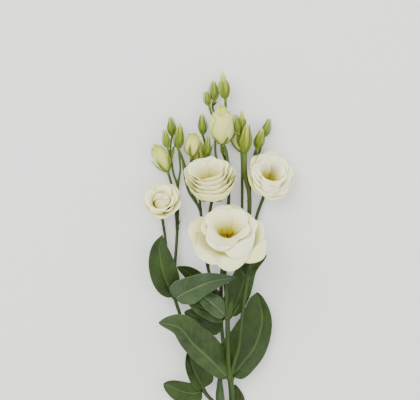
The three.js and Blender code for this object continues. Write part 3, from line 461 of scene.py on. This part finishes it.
def add_node(tree, kind, inputs=None, **settings):
    made = tree.nodes.new(kind)
    for key, value in settings.items():
        setattr(made, key, value)
    for key, value in (inputs or {}).items():
        if isinstance(value, bpy.types.NodeSocket):
            tree.links.new(value, made.inputs[key])
        else:
            made.inputs[key].default_value = value
    return made


def calculate(tree, operation, first, second=0.0, third=0.0):
    return add_node(tree, "ShaderNodeMath", {0: first, 1: second, 2: third},
                    operation=operation).outputs[0]


def ramp(tree, factor, stops):
    made = add_node(tree, "ShaderNodeValToRGB", {"Fac": factor})
    band = made.color_ramp
    while len(band.elements) < len(stops):
        band.elements.new(0.5)
    for element, (position, colour) in zip(band.elements, stops):
        element.position = position
        element.color = colour
    return made.outputs["Color"]


def mix_colours(tree, factor, first, second, mode="MIX"):
    made = add_node(tree, "ShaderNodeMix", {0: factor, 6: first, 7: second}, data_type="RGBA",
                    blend_type=mode)
    return made.outputs[2]


def new_group(name, inputs, outputs):
    group = bpy.data.node_groups.new(name, "ShaderNodeTree")
    for label, value in inputs:
        socket = group.interface.new_socket(label, in_out="INPUT", socket_type="NodeSocketFloat")
        socket.default_value = value
    for label in outputs:
        group.interface.new_socket(label, in_out="OUTPUT", socket_type="NodeSocketFloat")
    return group, group.nodes.new("NodeGroupInput"), group.nodes.new("NodeGroupOutput")


def mottle_group():
    """Soft cloudy patches and a fine grain, 0 to 1."""
    group, inside, outside = new_group("Mottle", [("Scale", 60)], ["Patches", "Grain"])
    place = add_node(group, "ShaderNodeTexCoord").outputs["Object"]
    cloud = add_node(group, "ShaderNodeTexNoise", {"Vector": place, "Scale": inside.outputs["Scale"],
                                                   "Detail": 3, "Roughness": 0.55})
    grain = add_node(group, "ShaderNodeTexNoise", {"Vector": place, "Scale": 2600, "Detail": 2})
    spread = add_node(group, "ShaderNodeMapRange", {"Value": cloud.outputs["Fac"], 1: 0.3, 2: 0.7})
    group.links.new(spread.outputs[0], outside.inputs["Patches"])
    group.links.new(grain.outputs["Fac"], outside.inputs["Grain"])
    return group


def streak_group():
    """Fine uneven lines that run along a piece, from its UV map."""
    group, inside, outside = new_group("Streaks", [("Lines", 40), ("Stretch", 3)], ["Lines"])
    uv = add_node(group, "ShaderNodeTexCoord").outputs["UV"]
    parts = add_node(group, "ShaderNodeSeparateXYZ", {0: uv})
    across = calculate(group, "MULTIPLY", parts.outputs[0], inside.outputs["Lines"])
    along = calculate(group, "MULTIPLY", parts.outputs[1], inside.outputs["Stretch"])
    place = add_node(group, "ShaderNodeCombineXYZ", {0: across, 1: along})
    lines = add_node(group, "ShaderNodeTexNoise", {"Vector": place.outputs[0], "Scale": 1,
                                                   "Detail": 2, "Roughness": 0.6})
    group.links.new(lines.outputs["Fac"], outside.inputs["Lines"])
    return group


def vein_group():
    """A leaf's rib, its side veins and a pale margin, from its UV map."""
    group, inside, outside = new_group("Leaf veins", [("Pairs", VEIN_PAIRS)],
                                       ["Rib", "Side veins", "Margin"])
    uv = add_node(group, "ShaderNodeTexCoord").outputs["UV"]
    parts = add_node(group, "ShaderNodeSeparateXYZ", {0: uv})
    centred = calculate(group, "MULTIPLY_ADD", parts.outputs[0], 2, -1)
    away = calculate(group, "ABSOLUTE", centred)
    waver = add_node(group, "ShaderNodeTexNoise", {"Vector": uv, "Scale": 7})
    sloping = calculate(group, "MULTIPLY_ADD", away, -VEIN_SLOPE, parts.outputs[1])
    bent = calculate(group, "MULTIPLY_ADD", waver.outputs["Fac"], 0.03, sloping)
    counted = calculate(group, "MULTIPLY", bent, inside.outputs["Pairs"])
    phase = calculate(group, "PINGPONG", counted, 0.5)
    rib = add_node(group, "ShaderNodeMapRange", {"Value": away, 1: 0.085, 2: 0.02},
                   interpolation_type="SMOOTHSTEP")
    side = add_node(group, "ShaderNodeMapRange", {"Value": phase, 1: 0.09, 2: 0.0},
                    interpolation_type="SMOOTHSTEP")
    margin = add_node(group, "ShaderNodeMapRange", {"Value": away, 1: 0.95, 2: 1.0})
    group.links.new(rib.outputs[0], outside.inputs["Rib"])
    group.links.new(side.outputs[0], outside.inputs["Side veins"])
    group.links.new(margin.outputs[0], outside.inputs["Margin"])
    return group


MOTTLE = mottle_group()
STREAKS = streak_group()
VEINS = vein_group()


def set_sockets(node, values):
    for key, value in values.items():
        node.inputs[key].default_value = value


def place_group(tree, group, **inputs):
    made = tree.nodes.new("ShaderNodeGroup")
    made.node_tree = group
    set_sockets(made, inputs)
    return made.outputs


def new_material(name):
    material = bpy.data.materials.new(name)
    material.use_nodes = True
    tree = material.node_tree
    return material, tree, tree.nodes["Principled BSDF"]


def set_bump(tree, shader, height, strength, distance):
    bump = add_node(tree, "ShaderNodeBump", {"Height": height, "Strength": strength,
                                             "Distance": distance * MM})
    tree.links.new(bump.outputs[0], shader.inputs["Normal"])


def petal_material(name, stops, shade, patches, translucency):
    """Thin satin petal whose colour runs from its root to its lip; on blooms painted shade darkens
    the heart and the outer whorls.
    """
    material, tree, shader = new_material(name)
    mottle = place_group(tree, MOTTLE, Scale=patches)
    streaks = place_group(tree, STREAKS, Lines=26, Stretch=2.5)
    along = add_node(tree, "ShaderNodeAttribute", attribute_name="along").outputs["Fac"]
    uneven = calculate(tree, "MULTIPLY_ADD", mottle["Patches"], 0.08, along)
    shifted = calculate(tree, "SUBTRACT", uneven, 0.04)
    colour = ramp(tree, shifted, stops)
    veined = calculate(tree, "MULTIPLY", streaks["Lines"], 0.35)
    colour = mix_colours(tree, veined, colour, shade, "MULTIPLY")
    # Tone darkens towards the shade colour: on blooms it is painted shade on the outer whorls with
    # random tone, on buds their own greenness
    tone = add_node(tree, "ShaderNodeAttribute", attribute_name="tone").outputs["Fac"]
    colour = mix_colours(tree, tone, colour, shade, "MULTIPLY")
    tree.links.new(colour, shader.inputs["Base Color"])
    set_sockets(shader, {"Roughness": 0.55, "Specular IOR Level": 0.3,
                         "Subsurface Weight": translucency,
                         "Subsurface Radius": (1, 0.95, 0.6), "Subsurface Scale": 3.5 * MM})
    height = calculate(tree, "MULTIPLY_ADD", mottle["Grain"], 0.25, streaks["Lines"])
    set_bump(tree, shader, height, 0.35, 0.25)
    return material


def leaf_material(name, dark, light, vein, waxy):
    """Waxy leaf with a pale rib, sunken side veins and quilting between them."""
    material, tree, shader = new_material(name)
    mottle = place_group(tree, MOTTLE, Scale=45)
    veins = place_group(tree, VEINS)
    colour = mix_colours(tree, mottle["Patches"], dark, light)
    side = calculate(tree, "MULTIPLY", veins["Side veins"], 0.07)
    colour = mix_colours(tree, side, colour, vein)
    edge = calculate(tree, "MULTIPLY", veins["Margin"], 0.35)
    colour = mix_colours(tree, edge, colour, vein)
    rib = calculate(tree, "MULTIPLY", veins["Rib"], 0.26)
    colour = mix_colours(tree, rib, colour, vein)
    tree.links.new(colour, shader.inputs["Base Color"])
    rough = calculate(tree, "MULTIPLY_ADD", mottle["Patches"], 0.15, 0.42)
    tree.links.new(rough, shader.inputs["Roughness"])
    set_sockets(shader, {"Specular IOR Level": 0.15, "Coat Weight": waxy, "Coat Roughness": 0.45,
                         "Subsurface Weight": 0.08, "Subsurface Scale": MM})
    sunk = calculate(tree, "MULTIPLY", veins["Side veins"], -1)
    height = calculate(tree, "MULTIPLY_ADD", mottle["Grain"], 0.3, sunk)
    set_bump(tree, shader, height, 0.5, 0.3)
    return material


def stem_material(name, dark, light, young, roughness):
    """Smooth green stem with fine lines along it."""
    material, tree, shader = new_material(name)
    mottle = place_group(tree, MOTTLE, Scale=30)
    streaks = place_group(tree, STREAKS, Lines=14, Stretch=6)
    colour = mix_colours(tree, mottle["Patches"], dark, light)
    lined = calculate(tree, "MULTIPLY", streaks["Lines"], 0.5)
    colour = mix_colours(tree, lined, colour, dark)
    tone = add_node(tree, "ShaderNodeAttribute", attribute_name="tone").outputs["Fac"]
    colour = mix_colours(tree, tone, colour, young)
    tree.links.new(colour, shader.inputs["Base Color"])
    set_sockets(shader, {"Roughness": roughness, "Specular IOR Level": 0.2,
                         "Subsurface Weight": 0.1, "Subsurface Scale": MM})
    set_bump(tree, shader, streaks["Lines"], 0.3, 0.2)
    return material


def gold_material():
    """Powdery gold of the stigmas and stamens."""
    material, tree, shader = new_material("powdery gold")
    mottle = place_group(tree, MOTTLE, Scale=300)
    colour = mix_colours(tree, mottle["Patches"], daylight(108, 92, 0), daylight(150, 124, 0))
    tree.links.new(colour, shader.inputs["Base Color"])
    set_sockets(shader, {"Roughness": 0.8, "Specular IOR Level": 0.1})
    set_bump(tree, shader, mottle["Grain"], 0.8, 0.4)
    return material


# Multiplied in along the petals' fine streaks and by their tone, which on blooms is painted shade
# deepening on the outer whorls
PETAL_SHADE = daylight(225, 222, 194)
# White petals run from the heart's yellow-green, darkened to olive at the start by painted shade deep
# in the cup and between whorls, to cream white at the lip
PETAL_WHITE = petal_material("white petal", [
    (0.0, daylight(112, 104, 4)), (0.26, daylight(146, 132, 10)), (0.4, daylight(178, 164, 44)),
    (0.52, daylight(208, 198, 106)), (0.66, daylight(232, 227, 164)), (0.82, daylight(250, 246, 184)),
    (1.0, daylight(255, 254, 195)),
], PETAL_SHADE, 40, 0.6)
PETAL_CREAM = petal_material("cream bud petal", [
    (0.0, daylight(196, 202, 116)), (0.15, daylight(214, 214, 150)), (0.5, daylight(226, 223, 162)),
    (0.74, daylight(228, 226, 160)), (0.88, daylight(206, 208, 108)), (1.0, daylight(190, 196, 84)),
], daylight(200, 208, 108), 50, 0.35)
PETAL_GREEN = petal_material("green bud petal", [
    (0.0, daylight(84, 102, 14)), (0.3, daylight(120, 133, 24)), (0.55, daylight(134, 143, 32)),
    (0.8, daylight(179, 185, 77)), (1.0, daylight(215, 217, 138)),
], daylight(206, 214, 156), 80, 0.25)
LEAF_DARK = leaf_material("dark leaf", daylight(19, 32, 6), daylight(40, 60, 15),
                          daylight(86, 106, 56), 0.04)
LEAF_FRONT = leaf_material("front leaf", daylight(25, 37, 14), daylight(47, 66, 27),
                           daylight(92, 114, 66), 0.04)
LEAF_GREY = leaf_material("grey-green leaf", daylight(33, 49, 25), daylight(52, 71, 40),
                          daylight(118, 136, 94), 0.1)
STEM_GREEN = stem_material("green stem", daylight(24, 37, 8), daylight(45, 64, 15),
                           daylight(80, 98, 32), 0.45)
SEPAL_GREEN = stem_material("green sepal", daylight(70, 88, 20), daylight(108, 126, 40),
                            daylight(120, 136, 50), 0.45)
GOLD = gold_material()
LEAF_KINDS = {"leaf_long": LEAF_GREY, "leaf_small_upper": LEAF_GREY, "leaf_stem_left": LEAF_GREY,
              "leaf_front": LEAF_FRONT, "leaf_small_middle": LEAF_FRONT}


# Blooms


def petal_line(whorl, droop, angle, s):
    """Radius and height along a petal, from its root at s = 0 to its lip at s = 1."""
    _, root, belly, back_throat, back_lip, front_throat, front_lip = whorl[:7]
    front = ((1 - math.sin(angle)) / 2) ** droop
    throat = Vector(back_throat).lerp(Vector(front_throat), front ** 0.4)
    lip = Vector(back_lip).lerp(Vector(front_lip), front)
    return (bezier(PETAL_ROOT, belly[0], throat[0], lip[0], s),
            bezier(root, belly[1], throat[1], lip[1], s))


def petal_point(whorl, droop, petal, u, s):
    """A point of a petal, u across it and s from root to lip."""
    facing, half, reach, slant, swell, point = (*petal, *PLAIN_PETAL[len(petal) - 3:])
    dip, ruffle, lap, *lean = whorl[7:]
    along = s * (reach + slant * u) * (1.02 - point * abs(u) ** 1.2 - 0.11 * abs(u) ** 3)
    edge = smooth(0.5, 1, along)
    claw = 0.7 + 0.3 * smooth(0.05, 0.35, along)
    theta = math.radians(facing + half * u * claw * (1 - 0.12 * edge))
    radius, height = petal_line(whorl, droop, theta, along)
    wave = ruffle * edge * (0.5 * math.sin(RUFFLES * theta + facing)
                            + 1.3 * ripple(theta * radius / WAVE_LENGTH, facing, 0.3))
    frill = ruffle * smooth(0.7, 1, along) * ripple(theta * radius / FRILL_LENGTH, facing, 7)
    to_left = sum(lean) * max(0, math.cos(theta - LEAN_SIDE)) ** 2
    out = radius + 0.8 * wave + 0.5 * frill + lap * u * smooth(0, 0.2, along)
    out += swell * edge + to_left * smooth(0.3, 1, along)
    up = height - dip * u * u * edge + 0.8 * wave + frill
    return Vector((out * math.cos(theta), out * math.sin(theta), up))


def build_bloom(name, base, faces, stigma_height, droop, whorls):
    """The petals of a bloom: gold at the heart with painted shade deep in the cup, and painted shade
    deepening outwards from whorl to whorl.
    """
    turn = turn_to(faces, base)
    gold_and_shade_reach = HEART_GOLD_AND_SHADE_REACH * min(1, stigma_height / 14)
    mesh = start_mesh()
    for order, whorl in enumerate(whorls):
        outwards = order / (len(whorls) - 1)
        reach = gold_and_shade_reach * blend(1, 0.3, outwards ** 0.45)
        for petal in whorl[0]:
            # Distance from the heart sets the colour: gold, darkened by painted shade deep in the
            # cup, then white
            def gold_and_shade(u, v):
                return petal_point(whorl, droop, petal, u, v).length / reach
            # Painted shade that deepens on the outer whorls, with a little random tone
            painted_shade_and_tone = 0.05 + 0.9 * outwards ** 2 + 0.2 * ripple(order * 3.1, petal[0])
            sheet(mesh, PETAL_GRID, lambda u, v: turn @ petal_point(whorl, droop, petal, u, v),
                  lambda u, v: 0.6 * v, painted_shade_and_tone, gold_and_shade)
    finish_piece(name + "_petals", mesh, PETAL_WHITE, [name + "_petals"],
                 PETAL_THICKNESS)
    build_centre(name, turn, stigma_height)


def build_centre(name, turn, stigma_height):
    """Pistil with a broad stigma of two lobes, in a ring of five stamens."""
    mesh = start_mesh()
    slim = min(1, stigma_height / 15)

    def bar(points, radius, sides=10, steps=10):
        tube(mesh, [turn @ Vector((x * slim, y * slim, z)) for x, y, z in points], radius, sides,
             steps)

    def lobe(middle):
        made = bmesh.ops.create_icosphere(mesh, subdivisions=3, radius=1)
        for vertex in made["verts"]:
            bulge = 1 + 0.12 * ripple(*(vertex.co * 2.4))
            local = Vector([place * size for place, size in zip(vertex.co, LOBE_SIZE)])
            vertex.co = metres(turn @ (Vector(middle) + bulge * slim * local))

    rise = stigma_height - HEART_FLOOR
    bar([(0, 0, HEART_FLOOR), (0, 0, HEART_FLOOR + 0.35 * rise), (0, 0, HEART_FLOOR + 0.7 * rise),
         (0, 0, stigma_height)], lambda t: slim * (2.2 - 1.2 * smooth(0.2, 0.6, t)), 12, 12)
    for side in (-1, 1):
        lobe((LOBE_PLACE * side * slim, 0, stigma_height))
    for stamen in range(STAMENS):
        angle = 2 * math.pi * stamen / STAMENS + 0.3
        foot, height = Vector((math.cos(angle), math.sin(angle), 0)), 0.8 * rise
        points = [foot * 2 + Vector((0, 0, HEART_FLOOR)),
                  foot * 3.1 + Vector((0, 0, HEART_FLOOR + height / 2)),
                  foot * 3.4 + Vector((0, 0, HEART_FLOOR + height))]
        bar(points, lambda t: 0.35 * slim)
        bar([points[2] + Vector((0, 0, up)) for up in (0, 0.9, 1.8)],
            lambda t: slim * (0.4 + 0.6 * math.sin(math.pi * min(t + 0.1, 1))), 8, 8)
    finish_piece(name + "_centre", mesh, GOLD, [name + "_centre"])


# Buds


def build_bud(name, base, tip, width, opening=0.0, green=0.0):
    """Rolled petals, each with one edge over the next, wound once round the bud."""
    direction = Vector(tip) - Vector(base)
    length = direction.length
    turn = turn_to(direction, base)
    mesh = start_mesh()
    # Layers from the outside in: petals, half widths, how far up they reach, how round their lips
    # are and how tightly they close
    layers = [(5, CLOSED_BUD, 0.97, 0, FURLED)]
    if opening:
        layers = [(5, CREAM_BUD, opening, 0.12, 0), (4, MIDDLE_BUD, opening + 0.05, 0.1, 0),
                  (4, INNER_BUD, 0.98, 0.08, FURLED)]
    for count, shape, rise, rounding, furl in layers:
        for index in range(count):
            def place(u, v):
                along = v * rise * (1 - rounding * u * u * smooth(0.4, 1, v))
                lip = smooth(0.75, 1, v) if opening else 0
                angle = 2 * math.pi * (index + 0.5 * rounding) / count
                angle = angle + ROLLED_HALF_ANGLE * u + ROLLED_TWIST * v
                over = 0.9 + 0.12 * (u + 1) / 2
                frill = lip * width / 20 * ripple(angle * 2.8, index, count)
                radius = over * width / 2 * profile(shape, along) + frill
                radius *= 1 - furl * smooth(0.88, 1, v)
                return turn @ Vector((radius * math.cos(angle), radius * math.sin(angle),
                                      along * length + 0.9 * frill))
            tone = green + (0.2 if opening else 0.7) + 0.2 * ripple(index, length)
            sheet(mesh, BUD_PETAL_GRID, place, lambda u, v: 0.5 * v, tone, lambda u, v: v * rise)
    material, slot = (PETAL_CREAM, "bud_cream") if opening else (PETAL_GREEN, "bud_green")
    finish_piece(name, mesh, material, [name], BUD_PETAL_THICKNESS)


def bud_calyx(mesh, base, tip, width, sepals, shape):
    """Sepals that follow the rolled petals and stand away from them towards their tips."""
    reach, spread = sepals
    direction = Vector(tip) - Vector(base)
    length = direction.length

    def line(s, _):
        v = reach * s
        return width / 2 * profile(shape, v) * 1.06 + 0.4 + spread * s ** 3, v * length
    cup = width / 2 * shape[0] + 0.7
    add_calyx(mesh, turn_to(direction, base), line, BUD_STALK, cup, BUD_SEPAL_HALF_ANGLE)


def bloom_calyx(mesh, base, faces, stalk, droop, whorls):
    """Sepals that follow the underside of the outermost petals."""
    def line(s, facing):
        radius, height = petal_line(whorls[-1], droop, facing, BLOOM_SEPAL_REACH * s)
        return radius + 1.2 * s, height - 1.1
    add_calyx(mesh, turn_to(faces, base), line, stalk, BLOOM_CUP, BLOOM_SEPAL_HALF_ANGLE)


def add_calyx(mesh, turn, line, stalk, cup, half_angle):
    """Five slim keeled sepals that rise from the swollen end of a stalk."""
    foot = [turn @ Vector((0, 0, z)) for z in (-CALYX_HEIGHT - 0.6, -1.4, 0.6)]
    tube(mesh, foot, lambda t: blend(stalk, cup, smooth(0.4, 0.98, t)), 16, 12)
    for index in range(SEPALS):
        middle = FIRST_SEPAL + 2 * math.pi * index / SEPALS

        def place(u, v):
            radius, height = line(v, middle)
            width = blend(SEPAL_FOOT_HALF_ANGLE, half_angle, smooth(0, 0.22, v))
            half = math.radians(width * (1 - v) ** 0.8 + 1)
            keel = SEPAL_KEEL * (1 - abs(u)) * (1 - 0.5 * v)
            angle = middle + u * half
            return turn @ Vector(((radius + keel) * math.cos(angle),
                                  (radius + keel) * math.sin(angle), height))
        sheet(mesh, SEPAL_GRID, place)


# Green parts


def build_stems():
    """The stem, its branches and the swollen joints."""
    mesh = start_mesh()
    for start, end, route in BRANCHES:
        length = sum((Vector(a) - Vector(b)).length for a, b in zip(route, route[1:]))

        def radius(t):
            flare = FLARE * math.exp(-((t * length) / FLARE_LENGTH) ** 2)
            swell = SLIM_SWELL if start < SLIM_BRANCH else 1
            return blend(start, end, t) * (swell + flare + 0.04 * ripple(t * length / 9, start))
        tube(mesh, route, radius, 12, 5 * (len(route) - 1),
             lambda point: smooth(OLD_STEM, YOUNG_STEM, point.y))
    for place, radius in SWELLINGS:
        made = bmesh.ops.create_icosphere(mesh, subdivisions=3, radius=radius * MM)
        for vertex in made["verts"]:
            vertex.co = vertex.co * (1 + 0.06 * ripple(*(vertex.co * 700))) + metres(place)
    finish_piece("stems", mesh, STEM_GREEN, ["spray_stem"])


def build_sepals():
    """The sepals of every bud and bloom."""
    mesh = start_mesh()
    for _, base, tip, width, sepals, *opening in BUDS:
        shape = CREAM_BUD if opening and opening[0] else CLOSED_BUD
        bud_calyx(mesh, base, tip, width, sepals, shape)
    for base, faces, stalk, _, droop, whorls in BLOOMS.values():
        bloom_calyx(mesh, base, faces, stalk, droop, whorls)
    finish_piece("sepals", mesh, SEPAL_GREEN, thickness=SEPAL_THICKNESS)


def build_bracts():
    """Small hollow leaves, widest in the middle."""
    mesh = start_mesh()
    for base, tip, half in BRACTS:
        rib = Vector(tip) - Vector(base)
        side = rib.cross(Vector((0, 0, 1))).normalized()
        lift = side.cross(rib).normalized()

        def place(u, v):
            width = half * (1 - v) ** 0.6 * (0.7 + 0.6 * math.sin(math.pi * v)) + 0.1
            return Vector(base) + rib * v + side * u * width + lift * (half * 0.4 * u * u)
        sheet(mesh, SEPAL_GRID, place)
    finish_piece("bracts", mesh, STEM_GREEN, thickness=SEPAL_THICKNESS)


def build_smallest_buds():
    """Closed green drops on the joints near the top of the spray."""
    mesh = start_mesh()
    for base, tip, half in SMALLEST_BUDS:
        tube(mesh, [base, (Vector(base) + Vector(tip)) / 2, tip],
             lambda t: half * (0.25 + 0.8 * math.sin(math.pi * min(t + 0.15, 1)) ** 0.8), 12, 14)
    finish_piece("smallest_buds", mesh, SEPAL_GREEN)


# Leaves


def leaf_outline(full, v):
    widest = LEAF_BASE_POWER / (LEAF_BASE_POWER + LEAF_TIP_POWER)

    def shape(x):
        return x ** LEAF_BASE_POWER * (1 - x) ** LEAF_TIP_POWER
    return 0.2 * (1 - v) ** 4 + (shape(v) / shape(widest)) ** full


def build_leaf(name, rib, faces_base, faces_tip, left, right, fold, wave, full, material):
    """A leaf that is folded along its rib, wavy at its edges and quilted between its veins."""
    turn = math.radians(fold)

    def place(u, v):
        point, forward = spline(rib, v)
        facing = Vector(faces_base).lerp(Vector(faces_tip), v)
        side = forward.cross(facing).normalized()
        up = side.cross(forward)
        width = left if u < 0 else right
        half = width * leaf_outline(full, v) + LEAF_MARGIN
        bend = math.sin(LEAF_WAVES * math.pi * v + (0 if u < 0 else 1.6)) * math.sin(math.pi * v)
        rise = abs(u) * half * math.sin(turn) + wave * u * u * bend
        phase = (v - VEIN_SLOPE * abs(u)) * VEIN_PAIRS
        pillow = abs(math.sin(math.pi * phase)) ** 0.6 - 0.7
        calm = smooth(0.04, 0.2, abs(u)) * math.sin(math.pi * v) ** 0.5 * (1 - 0.6 * u * u)
        rise += QUILTING * pillow * calm * min(1, half / 9)
        rise -= GROOVE_DEPTH * math.exp(-((u * half) / GROOVE_WIDTH) ** 2) * (1 - v)
        rise += 0.5 * ripple(v * 5, u * 1.5, width)
        return point + side * (u * half * math.cos(turn)) + up * rise
    mesh = start_mesh()
    sheet(mesh, LEAF_GRID, place, lambda u, v: 0.5 * abs(u))
    finish_piece(name, mesh, material, [name], LEAF_THICKNESS)


# Setting


def build_floor():
    mesh = bmesh.new()
    bmesh.ops.create_grid(mesh, x_segments=1, y_segments=1, size=TABLE_SIZE)
    data = bpy.data.meshes.new("table_top")
    mesh.to_mesh(data)
    mesh.free()
    material, _, shader = new_material("pale glowing table")
    # The table glows with its own emission, painted light that lifts the shadows cast on it
    set_sockets(shader, {"Base Color": daylight(193, 193, 190), "Roughness": 0.9,
                         "Emission Color": daylight(255, 255, 252),
                         "Emission Strength": TABLE_GLOW})
    data.materials.append(material)
    floor = bpy.data.objects.new("table_top", data)
    bpy.context.scene.collection.objects.link(floor)


def add_light(name, place, size, watts):
    data = bpy.data.lights.new(name, "AREA")
    data.size = size
    data.energy = watts
    light = bpy.data.objects.new(name, data)
    light.location = place
    light.rotation_euler = (-Vector(place)).to_track_quat("-Z", "Y").to_euler()
    bpy.context.scene.collection.objects.link(light)


def build_studio():
    build_floor()
    for light in LIGHTS:
        add_light(*light)
    world = bpy.data.worlds.new("studio")
    world.use_nodes = True
    sky = world.node_tree.nodes["Background"]
    set_sockets(sky, {"Color": (1, 1, 1, 1), "Strength": SKY_STRENGTH})
    bpy.context.scene.world = world


def hang_camera():
    data = bpy.data.cameras.new("camera")
    data.sensor_width = SENSOR
    data.lens = SENSOR * CAMERA_HEIGHT / (IMAGE_WIDTH * MM)
    camera = bpy.data.objects.new("camera", data)
    camera.location = metres(IMAGE_MIDDLE) + Vector((0, 0, CAMERA_HEIGHT))
    bpy.context.scene.collection.objects.link(camera)
    bpy.context.scene.camera = camera


hang_camera()
build_studio()
for bloom_name, (bloom_base, bloom_faces, _, *bloom_form) in BLOOMS.items():
    build_bloom(bloom_name, bloom_base, bloom_faces, *bloom_form)
for bud_name, bud_base, bud_tip, bud_width, _, *bud_opening in BUDS:
    build_bud(bud_name, bud_base, bud_tip, bud_width, *bud_opening)
build_stems()
build_sepals()
build_bracts()
build_smallest_buds()
for leaf_name, leaf in LEAVES.items():
    build_leaf(leaf_name, *leaf, LEAF_KINDS.get(leaf_name, LEAF_DARK))
